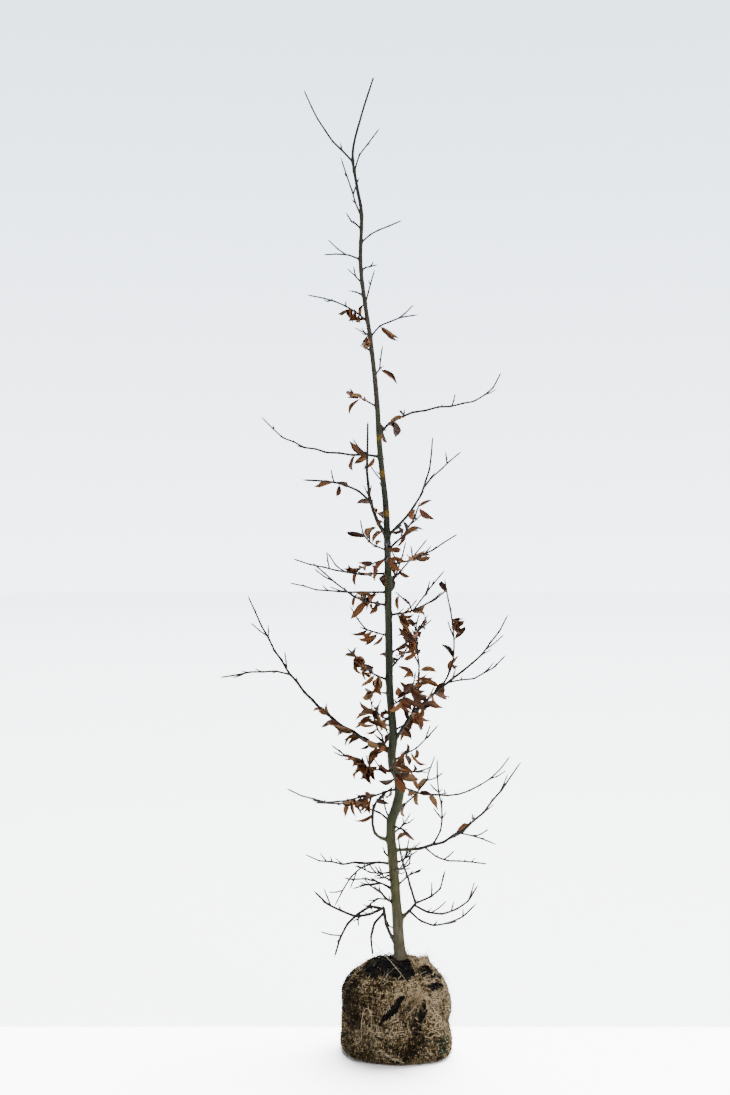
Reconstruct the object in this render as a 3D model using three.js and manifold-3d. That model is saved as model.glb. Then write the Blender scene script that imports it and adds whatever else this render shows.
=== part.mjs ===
// A feathered hornbeam sapling, lifted in winter with its root ball.
//
// The ball of soil is wrapped in hessian, which is slit and gathered into a knot on its front. The
// trunk stands in the soil with a flat foot, leans back through one dogleg and ends in a thin leader.
// Side limbs leave it all the way up. Each is a stem that zigzags from bud to bud, with forks, twigs
// and a few dry leaves that still hang on. The thicker limbs start as a bare bough, and their twigs
// begin at its tip.
//
// Millimetres, +Z up, +X to the right, -Y to the front. The origin is the centre of the flat underside.

import * as THREE from "three";
import { mergeVertices } from "three/addons/utils/BufferGeometryUtils.js";
import Module from "manifold-3d";

const wasm = await Module();
wasm.setup();

// ---------------------------------------------------------------- driving dimensions

const CLEAR = 0.36; // gap left between two neighbouring solids

const BALL = { halfWidth: 138.5, halfDepth: 130, squareness: 2.5, segments: 28 };
const HESSIAN = 4.2; // thickness of the wrap, with its slack
const FOOT = 214; // height of the trunk's flat foot, a little under the soil's top

// Outline of the wrapped ball: share of the half width, and height.
const BALL_OUTLINE = [
  [0.86, 0],
  [0.955, 8],
  [1.0, 27],
  [0.975, 62],
  [0.965, 118],
  [0.945, 150],
  [0.82, 187],
  [0.64, 209],
  [0.42, 222],
  [0.2, 229],
];
const BALL_TOP = 232;

// The trunk's middle line and radius, from its foot to the leader's tip.
const TRUNK = [
  { z: 214, x: 10, y: 0, r: 15.2 },
  { z: 234, x: 9, y: 0, r: 14.2 },
  { z: 262, x: 7, y: 0, r: 12.4 },
  { z: 300, x: 4, y: 0, r: 11.4 },
  { z: 355, x: 0, y: 1, r: 10.4 },
  { z: 467, x: -8, y: 2, r: 9.9 },
  { z: 569, x: -14, y: 3, r: 10.2 },
  { z: 614, x: 0, y: 3, r: 10.6 },
  { z: 655, x: 8, y: 2, r: 10.0 },
  { z: 688, x: 3, y: 0, r: 9.4 },
  { z: 718, x: -11, y: 0, r: 8.8 },
  { z: 800, x: -9, y: -2, r: 8.2 },
  { z: 904, x: -17, y: -3, r: 7.9 },
  { z: 1060, x: -20, y: 0, r: 7.6 },
  { z: 1274, x: -23, y: 6, r: 7.0 },
  { z: 1383, x: -28, y: 8, r: 6.2 },
  { z: 1513, x: -42, y: 8, r: 5.4 },
  { z: 1643, x: -50, y: 5, r: 4.7 },
  { z: 1778, x: -64, y: 0, r: 4.1 },
  { z: 1981, x: -91, y: -5, r: 3.6 },
  { z: 2117, x: -89, y: -4, r: 3.0 },
  { z: 2181, x: -100, y: -2, r: 2.5 },
  { z: 2268, x: -111, y: 0, r: 1.9 },
  { z: 2362, x: -90, y: 4, r: 1.3 },
  { z: 2461, x: -59, y: 8, r: 0.9 },
];
const TRUNK_SIDES = 10;
const TRUNK_STEPS = 30;

const TIE = { z: 1279, height: 14, wall: 1.4 }; // a band of dark tape round the trunk

// How twigs and leaves grow from a stem.
const RULE = {
  budGap: 36, // distance from bud to bud along a stem
  zigzag: 1.3, // how far each bud stands off the stem's middle line
  tip: 0.75, // radius of a stem's tip
  twigRadius: 0.95,
  twigTip: 0.65,
  twigAngle: 48, // degrees between a twig and its stem
  keepOff: 2.0, // room kept round everything that is already there
  leafLength: [38, 62],
  leafWidth: 0.4, // share of the length
  leafSunk: 0.9, // how far a leaf's root goes into its twig
};

// Side limbs. z: height where it leaves the trunk. turn: its direction in plan, 0 to the right and 90 to
// the back. out, up: how far its tip lies from its base. leave, end: its slope at both ends in degrees.
// thick: radius at the base. bough: the bare share. twigs, leaves: how many. leafy: where leaves hang.
// forks: stems that leave it at a share of its length.
const LIMBS = [
  {
    name: "foot_left", z: 247, turn: 192, out: 42, up: 114, leave: 60, end: 88, thick: 2.3, bough: 0.62, twigs: 0,
    forks: [
      { at: 0.97, turn: 190, out: 124, up: -109, leave: 22, end: -80, thick: 1.6, twigs: 2 },
      { at: 0.9, turn: 166, out: 31, up: -106, leave: -35, end: -100, thick: 1.3, twigs: 1 },
      { at: 0.99, turn: 182, out: 172, up: 40, leave: -35, end: 48, thick: 1.4, twigs: 2 },
    ],
  },
  {
    name: "foot_right", z: 322, turn: 350, out: 47, up: 50, leave: 38, end: 52, thick: 3.4, bough: 0.45, twigs: 0,
    forks: [
      { at: 0.98, turn: 208, out: 50, up: 170, leave: 74, end: 84, thick: 1.7, twigs: 1 },
      { at: 0.99, turn: 20, out: 76, up: 66, leave: 8, end: 98, thick: 1.4, twigs: 2 },
      { at: 0.9, turn: 345, out: 160, up: 54, leave: -38, end: 66, thick: 1.6, twigs: 3 },
      { at: 0.62, turn: 4, out: 165, up: 10, leave: -58, end: 52, thick: 1.4, twigs: 1 },
    ],
  },
  {
    name: "low_left", z: 369, turn: 214, out: 79, up: 54, leave: 12, end: 18, thick: 2.3, twigs: 3,
    forks: [{ at: 0.3, turn: 205, out: 64, up: -22, leave: 10, end: -60, thick: 1.2, twigs: 1 }],
  },
  { name: "low_left_thin", z: 403, turn: 150, out: 119, up: -9, leave: 26, end: -26, twigs: 2 },
  { name: "low_back", z: 430, turn: 78, out: 200, up: 60, leave: 12, end: 48, twigs: 2 },
  {
    name: "left_level", z: 468, turn: 150, out: 258, up: -4, leave: 2, end: 16, thick: 2.0, twigs: 2,
    forks: [{ at: 0.18, turn: 166, out: 105, up: -110, leave: -12, end: -62, thick: 1.2, twigs: 2 }],
  },
  { name: "low_front", z: 452, turn: 283, out: 170, up: 74, leave: 20, end: 52, twigs: 2 },
  {
    name: "long_right_low", z: 503, turn: 331, out: 348, up: 241, leave: 4, end: 56, thick: 2.5, bough: 0.16,
    twigs: 3, leaves: 1, leafy: [0.38, 0.42],
    forks: [
      { at: 0.2, turn: 319, out: 188, up: -16, leave: -34, end: -2, thick: 1.2, twigs: 2 },
      { at: 0.26, turn: 19, out: 11, up: 206, leave: 50, end: 84, thick: 1.3, twigs: 2 },
      { at: 0.45, turn: 351, out: 87, up: -24, leave: -12, end: -22, thick: 1.0, twigs: 1 },
    ],
  },
  {
    name: "arch_left", z: 528, turn: 196, out: 50, up: 48, leave: -6, end: 94, thick: 2.8, bough: 0.93, twigs: 0,
    forks: [{ at: 0.98, turn: 340, out: 52, up: 92, leave: 98, end: 34, thick: 2.0, twigs: 3, leaves: 1 }],
  },
  {
    name: "left_leafy_low", z: 574, turn: 158, out: 206, up: 36, leave: 34, end: -2, thick: 1.6, twigs: 2,
    leaves: 4, leafy: [0.2, 0.66],
  },
  { name: "right_back_low", z: 592, turn: 58, out: 210, up: 120, leave: 20, end: 62, twigs: 2, leaves: 2 },
  {
    name: "left_level_high", z: 660, turn: 206, out: 305, up: 18, leave: -8, end: 30, thick: 1.5, twigs: 2,
    leaves: 5, leafy: [0.06, 0.44],
  },
  {
    name: "right_level", z: 666, turn: 30, out: 336, up: 46, leave: -24, end: 46, thick: 1.6, twigs: 2,
    leaves: 2, leafy: [0.05, 0.2],
  },
  { name: "front_leafy_low", z: 676, turn: 262, out: 120, up: 66, leave: 24, end: 60, leaves: 5, leafy: [0.2, 1] },
  {
    name: "left_leafy_rise", z: 704, turn: 216, out: 188, up: 76, leave: 4, end: 34, thick: 1.5, twigs: 2,
    leaves: 6, leafy: [0.15, 0.7],
  },
  { name: "back_low", z: 734, turn: 104, out: 240, up: 150, leave: 30, end: 62, twigs: 2, leaves: 3 },
  {
    name: "long_left", z: 750, turn: 160, out: 396, up: 387, leave: 20, end: 64, thick: 2.7, bough: 0.24,
    twigs: 3, leaves: 6, leafy: [0.02, 0.22],
    forks: [{ at: 0.61, turn: 173, out: 180, up: -8, leave: 16, end: -8, thick: 1.1, twigs: 1 }],
  },
  {
    name: "long_right", z: 765, turn: 338, out: 300, up: 333, leave: 66, end: 64, thick: 2.6, bough: 0.12,
    twigs: 3, leaves: 7, leafy: [0.1, 0.42],
    forks: [
      { at: 0.2, turn: 312, out: 16, up: 232, leave: 62, end: 92, thick: 1.5, twigs: 3, leaves: 8 },
      { at: 0.36, turn: 12, out: 39, up: 288, leave: 36, end: 100, thick: 1.3, twigs: 3, leaves: 4 },
      { at: 0.5, turn: 326, out: 159, up: 70, leave: 8, end: 48, thick: 1.1, twigs: 1 },
    ],
  },
  { name: "front_leafy", z: 868, turn: 296, out: 132, up: 92, leave: 22, end: 66, leaves: 6, leafy: [0.15, 1] },
  {
    name: "left_leafy_high", z: 934, turn: 204, out: 103, up: 74, leave: 14, end: 46, thick: 1.7, twigs: 2,
    leaves: 7, leafy: [0.15, 1],
  },
  { name: "back_leafy", z: 960, turn: 66, out: 200, up: 130, leave: 20, end: 60, twigs: 2, leaves: 4 },
  {
    name: "right_leafy_high", z: 1000, turn: 12, out: 97, up: 92, leave: 26, end: 60, twigs: 2, leaves: 6,
    leafy: [0.1, 0.9],
  },
  {
    name: "left_rise", z: 1046, turn: 140, out: 124, up: 66, leave: 4, end: 62, twigs: 1, leaves: 2,
    leafy: [0.05, 0.5],
  },
  {
    name: "right_fork", z: 1098, turn: 338, out: 70, up: 16, leave: 4, end: 20, thick: 1.7, twigs: 1, leaves: 5,
    leafy: [0.2, 0.9],
    forks: [
      { at: 0.96, turn: 0, out: 74, up: 94, leave: 50, end: 46, thick: 1.0, twigs: 1 },
      { at: 0.99, turn: 333, out: 83, up: 46, leave: 20, end: 40, thick: 1.0, twigs: 1 },
      { at: 0.9, turn: 156, out: 39, up: 42, leave: 70, end: 30, thick: 1.0, leaves: 2 },
    ],
  },
  {
    name: "left_rise_long", z: 1123, turn: 212, out: 216, up: 105, leave: 4, end: 38, thick: 1.6, twigs: 2,
    leaves: 2, leafy: [0.1, 0.4],
  },
  {
    name: "left_level_thin", z: 1157, turn: 153, out: 281, up: 19, leave: 0, end: 14, twigs: 1, leaves: 2,
    leafy: [0.05, 0.3],
  },
  {
    name: "right_upright", z: 1170, turn: 40, out: 58, up: 110, leave: 40, end: 66, twigs: 1, leaves: 2,
    leafy: [0.02, 0.5],
    forks: [{ at: 0.25, turn: 16, out: 82, up: 92, leave: 44, end: 50, thick: 1.0, twigs: 1 }],
  },
  {
    name: "left_slender", z: 1204, turn: 200, out: 246, up: 36, leave: -2, end: 16, twigs: 1, leaves: 2,
    leafy: [0.02, 0.2],
    forks: [{ at: 0.36, turn: 222, out: 81, up: 46, leave: 4, end: 58, thick: 0.9 }],
  },
  {
    name: "right_slender", z: 1224, turn: 325, out: 201, up: 76, leave: 10, end: 30, twigs: 1, leaves: 2,
    leafy: [0.2, 0.5],
  },
  { name: "left_leafy_top", z: 1240, turn: 168, out: 80, up: -26, leave: -20, end: -30, leaves: 4, leafy: [0.3, 1] },
  { name: "front_top", z: 1232, turn: 268, out: 108, up: 40, leave: 6, end: 50, leaves: 3, leafy: [0.3, 1] },
  { name: "left_hook", z: 1262, turn: 228, out: 102, up: 72, leave: 8, end: 80, twigs: 1, leaves: 2, leafy: [0.3, 0.7] },
  {
    name: "right_leafy_top", z: 1262, turn: 312, out: 114, up: 114, leave: 34, end: 66, thick: 1.7, twigs: 1,
    leaves: 5, leafy: [0.35, 1],
  },
  {
    name: "upright_left", z: 1296, turn: 204, out: 54, up: 286, leave: 52, end: 90, thick: 2.2, bough: 0.2,
    twigs: 2, leaves: 2, leafy: [0.03, 0.3],
    forks: [{ at: 0.33, turn: 196, out: 170, up: 54, leave: 44, end: 0, thick: 1.2, twigs: 1, leaves: 2, leafy: [0.3, 0.7] }],
  },
  {
    name: "upright_right", z: 1298, turn: 342, out: 119, up: 244, leave: 40, end: 88, thick: 2.2, bough: 0.2,
    twigs: 1, leaves: 1, leafy: [0.02, 0.2],
    forks: [{ at: 0.55, turn: 18, out: 98, up: 92, leave: 52, end: 42, thick: 1.1, twigs: 1 }],
  },
  { name: "back_high", z: 1400, turn: 94, out: 170, up: 120, leave: 26, end: 62, twigs: 1 },
  {
    name: "high_left", z: 1500, turn: 155, out: 338, up: 108, leave: 8, end: 46, thick: 1.8,
    twigs: 1, leaves: 2, leafy: [0.02, 0.2],
  },
  {
    name: "high_right", z: 1556, turn: 20, out: 338, up: 166, leave: 52, end: 66, thick: 2.0,
    twigs: 1, leaves: 3, leafy: [0.02, 0.12],
  },
  { name: "high_front", z: 1690, turn: 278, out: 118, up: 70, leave: 24, end: 54, leaves: 1, leafy: [0.3, 0.5] },
  {
    name: "top_right", z: 1802, turn: 332, out: 127, up: 47, leave: 48, end: 4, twigs: 1, leaves: 1,
    leafy: [0.15, 0.3],
  },
  {
    name: "top_left", z: 1842, turn: 208, out: 163, up: 53, leave: 36, end: 6, twigs: 1, leaves: 2,
    leafy: [0.05, 0.4],
  },
  { name: "crown_left", z: 1998, turn: 146, out: 107, up: 24, leave: 28, end: 4, twigs: 1 },
  { name: "crown_right", z: 2040, turn: 26, out: 111, up: 65, leave: 46, end: 28 },
  { name: "crown_left_steep", z: 2104, turn: 216, out: 61, up: 134, leave: 62, end: 66, twigs: 1 },
  { name: "crown_right_steep", z: 2221, turn: 328, out: 70, up: 94, leave: 78, end: 44 },
  { name: "leader_left", z: 2246, turn: 166, out: 127, up: 186, leave: 44, end: 66, thick: 1.5 },
];

// Colours, roughness.
const FINISH = {
  bark: [0x6b6650, 0.8],
  twig: [0x4a4038, 0.8],
  soil: [0x2b241f, 0.95],
  hessian: [0x8a6d48, 0.95],
  tape: [0x1c2330, 0.5],
};

// ---------------------------------------------------------------- helpers

const UP = new THREE.Vector3(0, 0, 1);
const rad = THREE.MathUtils.degToRad;

// Numbers from 0 to 1 that repeat for the same seed.
function randomFrom(seed) {
  let state = seed >>> 0;
  return () => {
    state = (Math.imul(state, 1664525) + 1013904223) >>> 0;
    return state / 4294967296;
  };
}

function solidOf(geometry) {
  const bare = new THREE.BufferGeometry();
  bare.setAttribute("position", geometry.getAttribute("position"));
  bare.setIndex(geometry.getIndex());
  const merged = mergeVertices(bare, 1e-4);
  return new wasm.Manifold(
    new wasm.Mesh({
      numProp: 3,
      vertProperties: merged.attributes.position.array,
      triVerts: new Uint32Array(merged.index.array),
    }),
  );
}

function geometryOf(solid) {
  const mesh = solid.getMesh();
  const geometry = new THREE.BufferGeometry();
  geometry.setAttribute("position", new THREE.BufferAttribute(mesh.vertProperties, 3));
  geometry.setIndex(new THREE.BufferAttribute(mesh.triVerts, 1));
  return geometry;
}

// The largest body of a solid, without the crumbs that a cut leaves.
function mainBody(solid) {
  return solid.decompose().reduce((best, body) => (body.volume() > best.volume() ? body : best));
}

function directionAt(points, i) {
  const before = points[Math.max(i - 1, 0)];
  const after = points[Math.min(i + 1, points.length - 1)];
  return after.clone().sub(before).normalize();
}

// A closed tube along a line of points, with its own radius at each.
function tubeGeometry(points, radii, sides) {
  const position = [];
  const index = [];
  let normal = new THREE.Vector3(0.31, 0.95, 0.08);
  points.forEach((point, i) => {
    const along = directionAt(points, i);
    normal = normal.clone().addScaledVector(along, -normal.dot(along)).normalize();
    const across = along.clone().cross(normal);
    for (let k = 0; k < sides; k++) {
      const angle = (2 * Math.PI * k) / sides;
      const ring = point
        .clone()
        .addScaledVector(normal, radii[i] * Math.cos(angle))
        .addScaledVector(across, radii[i] * Math.sin(angle));
      position.push(ring.x, ring.y, ring.z);
    }
  });
  const last = (points.length - 1) * sides;
  for (let k = 0; k < sides; k++) {
    const next = (k + 1) % sides;
    for (let ring = 0; ring < last; ring += sides) {
      index.push(ring + k, ring + next, ring + sides + next);
      index.push(ring + k, ring + sides + next, ring + sides + k);
    }
    if (k > 0 && k < sides - 1) {
      index.push(0, k + 1, k);
      index.push(last, last + k, last + k + 1);
    }
  }
  const geometry = new THREE.BufferGeometry();
  geometry.setAttribute("position", new THREE.Float32BufferAttribute(position, 3));
  geometry.setIndex(index);
  return geometry;
}

// ---------------------------------------------------------------- trunk

const trunkLine = new THREE.CatmullRomCurve3(TRUNK.map((s) => new THREE.Vector3(s.x, s.y, s.z)));
const trunkGirth = new THREE.CatmullRomCurve3(TRUNK.map((s) => new THREE.Vector3(s.r, 0, s.z)));

function trunkAt(z) {
  let low = 0;
  let high = 1;
  for (let i = 0; i < 30; i++) {
    const middle = (low + high) / 2;
    if (trunkLine.getPoint(middle).z < z) low = middle;
    else high = middle;
  }
  return { point: trunkLine.getPoint(low), r: trunkGirth.getPoint(low).x };
}

function trunkSolid(extra) {
  const points = [];
  const radii = [];
  const top = TRUNK[TRUNK.length - 1].z;
  for (let i = 0; i <= TRUNK_STEPS; i++) {
    const share = i / TRUNK_STEPS;
    const spot = trunkAt(FOOT + (top - FOOT) * (0.35 * share * share + 0.65 * share));
    points.push(spot.point);
    radii.push(spot.r + extra);
  }
  points[0].z = FOOT - extra;
  if (extra > 0) points[TRUNK_STEPS].z += extra;
  // The flat foot: its ring lies level.
  const geometry = tubeGeometry(points, radii, TRUNK_SIDES);
  const position = geometry.getAttribute("position");
  for (let k = 0; k < TRUNK_SIDES; k++) position.setZ(k, FOOT - extra);
  return solidOf(geometry);
}

function tieSolid() {
  const ring = (z, extra) => {
    const spot = trunkAt(z);
    return { point: spot.point, r: spot.r + extra };
  };
  const shell = (extra, overrun) => {
    const ends = [TIE.z - TIE.height / 2 - overrun, TIE.z + TIE.height / 2 + overrun];
    const rings = ends.map((z) => ring(z, extra));
    return solidOf(
      tubeGeometry(
        rings.map((s) => s.point),
        rings.map((s) => s.r),
        10,
      ),
    );
  };
  return shell(1 + TIE.wall, 0).subtract(shell(1, 5));
}

// ---------------------------------------------------------------- stems, twigs and leaves

// A stem's middle line and radius at each bud, from its base to its tip.
function growStem(base, stem, random) {
  const way = new THREE.Vector3(Math.cos(rad(stem.turn)), Math.sin(rad(stem.turn)), 0);
  const slope = (degrees) => way.clone().multiplyScalar(Math.cos(rad(degrees))).addScaledVector(UP, Math.sin(rad(degrees)));
  const span = Math.hypot(stem.out, stem.up);
  const tip = base.clone().addScaledVector(way, stem.out).addScaledVector(UP, stem.up);
  const curve = new THREE.CubicBezierCurve3(
    base,
    base.clone().addScaledVector(slope(stem.leave), span * 0.4),
    tip.clone().addScaledVector(slope(stem.end), -span * 0.4),
    tip,
  );
  const count = Math.max(3, Math.round(curve.getLength() / RULE.budGap));
  const thick = stem.thick ?? 0.9 + span * 0.0022;
  const sideways = way.clone().cross(UP);
  const points = [];
  const radii = [];
  for (let i = 0; i <= count; i++) {
    const share = i / count;
    const point = curve.getPoint(share);
    const inside = i > 0 && i < count ? 1 : 0;
    const side = (i % 2 ? 1 : -1) * RULE.zigzag * inside;
    point.addScaledVector(sideways, side + (random() - 0.5) * 3.2 * inside);
    point.addScaledVector(UP, side * 0.7 + (random() - 0.5) * 3.2 * inside);
    points.push(point);
    radii.push(RULE.tip + (thick - RULE.tip) * Math.pow(1 - share, 0.85));
  }
  return { points, radii };
}

// The place at a share of a stem's length.
function spotOn(stem, share) {
  const along = share * (stem.points.length - 1);
  const i = Math.min(Math.floor(along), stem.points.length - 2);
  const point = stem.points[i].clone().lerp(stem.points[i + 1], along - i);
  const way = stem.points[i + 1].clone().sub(stem.points[i]).normalize();
  const r = stem.radii[i] + (stem.radii[i + 1] - stem.radii[i]) * (along - i);
  return { point, way, r };
}

// The stem from a share of its length on, with its length before that left out.
function stemFrom(stem, share, gap) {
  const start = spotOn(stem, share);
  const first = Math.floor(share * (stem.points.length - 1)) + 1;
  return {
    points: [start.point.addScaledVector(start.way, gap), ...stem.points.slice(first)],
    radii: [start.r, ...stem.radii.slice(first)],
  };
}

function stemUpTo(stem, share) {
  const stop = spotOn(stem, share);
  const last = Math.floor(share * (stem.points.length - 1)) + 1;
  return {
    points: [...stem.points.slice(0, last), stop.point],
    radii: [...stem.radii.slice(0, last), stop.r],
  };
}

// Everything placed so far, as short rods, so that nothing new runs into it.
const placed = [];

function place(owner, line, kind) {
  for (let i = 0; i < line.points.length - 1; i++)
    placed.push({
      owner,
      kind,
      line: new THREE.Line3(line.points[i], line.points[i + 1]),
      r: Math.max(line.radii[i], line.radii[i + 1]),
    });
}

const nearest = new THREE.Vector3();

// Whether a twig or a leaf has room. It may touch its own limb's stems, and a twig also its own twigs.
function isClear(owner, line, kind) {
  for (let i = 0; i < line.points.length - 1; i++) {
    const steps = Math.ceil(line.points[i].distanceTo(line.points[i + 1]) / 3);
    for (let k = 0; k <= steps; k++) {
      const point = line.points[i].clone().lerp(line.points[i + 1], k / steps);
      const r = Math.max(line.radii[i], line.radii[i + 1]) + RULE.keepOff;
      if (point.z < BALL_TOP + 20 && Math.hypot(point.x, point.y) < BALL.halfWidth + 20) return false;
      for (const rod of placed) {
        const own = rod.owner === owner;
        if (own && (kind !== "leaf" || rod.kind === "stem")) continue;
        rod.line.closestPointToPoint(point, true, nearest);
        if (nearest.distanceTo(point) < r + rod.r - (own ? 1 : 0)) return false;
      }
    }
  }
  return true;
}

// A twig that leaves a stem at a bud, bending a little upwards.
function growTwig(stem, share, side, random) {
  const spot = spotOn(stem, share);
  const across = spot.way.clone().cross(UP).normalize().applyAxisAngle(spot.way, (random() - 0.5) * 1.6);
  const angle = rad(RULE.twigAngle + (random() - 0.5) * 24);
  const way = spot.way.clone().multiplyScalar(Math.cos(angle)).addScaledVector(across, side * Math.sin(angle));
  const length = 26 + random() * 34;
  const points = [spot.point.clone()];
  for (let i = 1; i <= 2; i++) {
    way.addScaledVector(UP, 0.18).normalize();
    const kink = i % 2 ? 1 : -1;
    points.push(points[i - 1].clone().addScaledVector(way, length / 2).addScaledVector(across, kink));
  }
  const radii = points.map((_, i) => RULE.twigRadius + (RULE.twigTip - RULE.twigRadius) * (i / 2));
  return { points, radii };
}

// A dry leaf: it hangs from its root, folded along its midrib and curled.
function growLeaf(stem, share, side, random) {
  const spot = spotOn(stem, share);
  const across = spot.way.clone().cross(UP).normalize();
  const length = RULE.leafLength[0] + (RULE.leafLength[1] - RULE.leafLength[0]) * random();
  const along = spot.way
    .clone()
    .multiplyScalar(0.2 + random() * 0.6)
    .addScaledVector(across, side * (0.5 + random() * 0.5))
    .addScaledVector(UP, 0.35 - random() * 1.5)
    .normalize();
  const face = along
    .clone()
    .cross(UP)
    .applyAxisAngle(along, random() * Math.PI * 2)
    .normalize();
  const curl = length * (0.05 + 0.2 * random());
  const fold = 0.3 + 0.9 * random();
  return { root: spot.point, along, face, length, curl, fold, sunk: spot.r * RULE.leafSunk };
}

// Stations along a leaf, with its share of the half width at each.
const LEAF_STATIONS = [
  { t: 0, half: 0.06 },
  { t: 0.36, half: 1 },
  { t: 0.7, half: 0.74 },
  { t: 1, half: 0 },
];

// A line along the blade, at a share of its half width: 0 is the midrib, 1 and -1 are its edges.
function ribOf(leaf, side) {
  return LEAF_STATIONS.map((s) => {
    const half = (s.half * leaf.length * RULE.leafWidth) / 2;
    return leaf.root
      .clone()
      .addScaledVector(leaf.along, s.t * leaf.length)
      .addScaledVector(leaf.face, Math.abs(side) * half * leaf.fold * 0.7 - leaf.curl * s.t * s.t)
      .addScaledVector(leaf.face.clone().cross(leaf.along), side * half);
  });
}

// The room a leaf takes, as five lines along its blade.
function ribsOf(leaf) {
  return [0, 0.5, -0.5, 1, -1].map((side) => ({ points: ribOf(leaf, side), radii: [1, 1, 1, 1] }));
}

function leafSolid(leaf) {
  const [middle, left, right] = [0, 1, -1].map((side) => ribOf(leaf, side));
  const thick = leaf.face.clone().multiplyScalar(leaf.length / 70);
  const across = leaf.face.clone().cross(leaf.along).multiplyScalar(1.1);
  const root = leaf.root.clone().addScaledVector(leaf.along, -leaf.sunk * 0.3);
  const corners = [
    root.clone().add(across),
    root.clone().add(thick),
    root.clone().sub(across),
    root.clone().sub(thick),
  ];
  for (const i of [1, 2])
    corners.push(left[i], middle[i].clone().add(thick), right[i], middle[i].clone().sub(thick));
  corners.push(middle[3]);
  const position = corners.flatMap((c) => [c.x, c.y, c.z]);
  const index = [0, 2, 1, 0, 3, 2];
  for (let ring = 0; ring < 8; ring += 4)
    for (let k = 0; k < 4; k++) {
      const next = (k + 1) % 4;
      index.push(ring + k, ring + next, ring + 4 + next);
      index.push(ring + k, ring + 4 + next, ring + 4 + k);
    }
  for (let k = 0; k < 4; k++) index.push(8 + k, 8 + ((k + 1) % 4), 12);
  const geometry = new THREE.BufferGeometry();
  geometry.setAttribute("position", new THREE.Float32BufferAttribute(position, 3));
  geometry.setIndex(index);
  return solidOf(geometry);
}

// Stems with their twigs and leaves, decided in one pass so that no limb runs into another.
function planCrown() {
  place("trunk", { points: TRUNK.map((s) => new THREE.Vector3(s.x, s.y, s.z)), radii: TRUNK.map((s) => s.r) }, "stem");
  const plans = LIMBS.map((limb, number) => {
    const random = randomFrom(7919 * (number + 1));
    const main = growStem(trunkAt(limb.z).point, limb, random);
    const plan = { limb, random, main, stems: [], twigs: [], leaves: [] };
    // A bough ends half way between two buds.
    const steps = main.points.length - 1;
    const bare = limb.bough ? (Math.floor(limb.bough * steps) + 0.5) / steps : 0;
    plan.stems.push({ spec: limb, line: main, from: bare });
    for (const fork of limb.forks ?? []) {
      const spot = spotOn(main, fork.at);
      plan.stems.push({ spec: fork, line: growStem(spot.point, fork, random), from: 0 });
    }
    plan.stems.forEach((stem) => place(limb.name, stem.line, "stem"));
    return plan;
  });
  for (const plan of plans) {
    const name = plan.limb.name;
    for (const stem of plan.stems) {
      const start = Math.max(stem.from + 0.06, 0.12);
      const twigs = stem.spec.twigs ?? 0;
      for (let i = 0; i < twigs; i++) {
        const share = start + ((0.94 - start) * (i + 0.3 + 0.4 * plan.random())) / twigs;
        const twig = growTwig(stem.line, share, i % 2 ? 1 : -1, plan.random);
        if (!isClear(name, twig, "twig")) continue;
        place(name, twig, "twig");
        plan.twigs.push(twig);
      }
      const leaves = stem.spec.leaves ?? 0;
      const [first, last] = stem.spec.leafy ?? [0.1, 0.95];
      const low = Math.max(first, stem.from + 0.03);
      const high = Math.max(last, low + 0.12);
      for (let i = 0; i < leaves; i++) {
        const share = Math.min(low + ((high - low) * (i + plan.random())) / leaves, 0.985);
        for (let attempt = 0; attempt < 9; attempt++) {
          const leaf = growLeaf(stem.line, share, (i + attempt) % 2 ? 1 : -1, plan.random);
          const ribs = ribsOf(leaf);
          if (!ribs.every((rib) => isClear(name, rib, "leaf"))) continue;
          ribs.forEach((rib) => place(name, rib, "leaf"));
          plan.leaves.push(leaf);
          break;
        }
      }
    }
  }
  return plans;
}

function sidesFor(radius) {
  if (radius > 2.1) return 5;
  return radius > 1.25 ? 4 : 3;
}

function stemSolid(line) {
  return solidOf(tubeGeometry(line.points, line.radii, sidesFor(line.radii[0])));
}

// ---------------------------------------------------------------- root ball

// How far the wrapped ball stands out round its plan, as a share, with the dents of handling.
function planShape(angle, height) {
  const n = BALL.squareness;
  const c = Math.abs(Math.cos(angle)) ** n;
  const s = Math.abs(Math.sin(angle)) ** n;
  const square = (c + s) ** (-1 / n);
  const squareOff = 1 + (square - 1) * 0.55;
  const dents = 0.012 * Math.sin(3 * angle + height / 40) + 0.01 * Math.sin(7 * angle - height / 25);
  const folds = 0.012 * Math.sin(13 * angle + height / 30) * Math.min(1, height / 60);
  return squareOff + dents + folds;
}

// The ball as a solid, drawn in from the wrap's outside by a distance.
function ballSolid(inset) {
  const outline = [[0, inset]];
  BALL_OUTLINE.forEach(([share, height], i) => {
    const before = BALL_OUTLINE[Math.max(i - 1, 0)];
    const after = BALL_OUTLINE[Math.min(i + 1, BALL_OUTLINE.length - 1)];
    const slope = new THREE.Vector2((after[0] - before[0]) * BALL.halfWidth, after[1] - before[1]).normalize();
    outline.push([share * BALL.halfWidth - slope.y * inset, i === 0 ? inset : height + slope.x * inset]);
  });
  outline.push([0, BALL_TOP - inset]);
  const lathe = new THREE.LatheGeometry(
    outline.map(([r, z]) => new THREE.Vector2(r, z)),
    BALL.segments,
  );
  lathe.rotateX(Math.PI / 2);
  const position = lathe.getAttribute("position");
  for (let i = 0; i < position.count; i++) {
    const r = Math.hypot(position.getX(i), position.getY(i));
    const angle = Math.atan2(position.getY(i), position.getX(i));
    const share = r * planShape(angle, position.getZ(i));
    position.setX(i, share * Math.cos(angle));
    position.setY(i, share * Math.sin(angle) * (BALL.halfDepth / BALL.halfWidth));
  }
  return solidOf(lathe);
}

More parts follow.
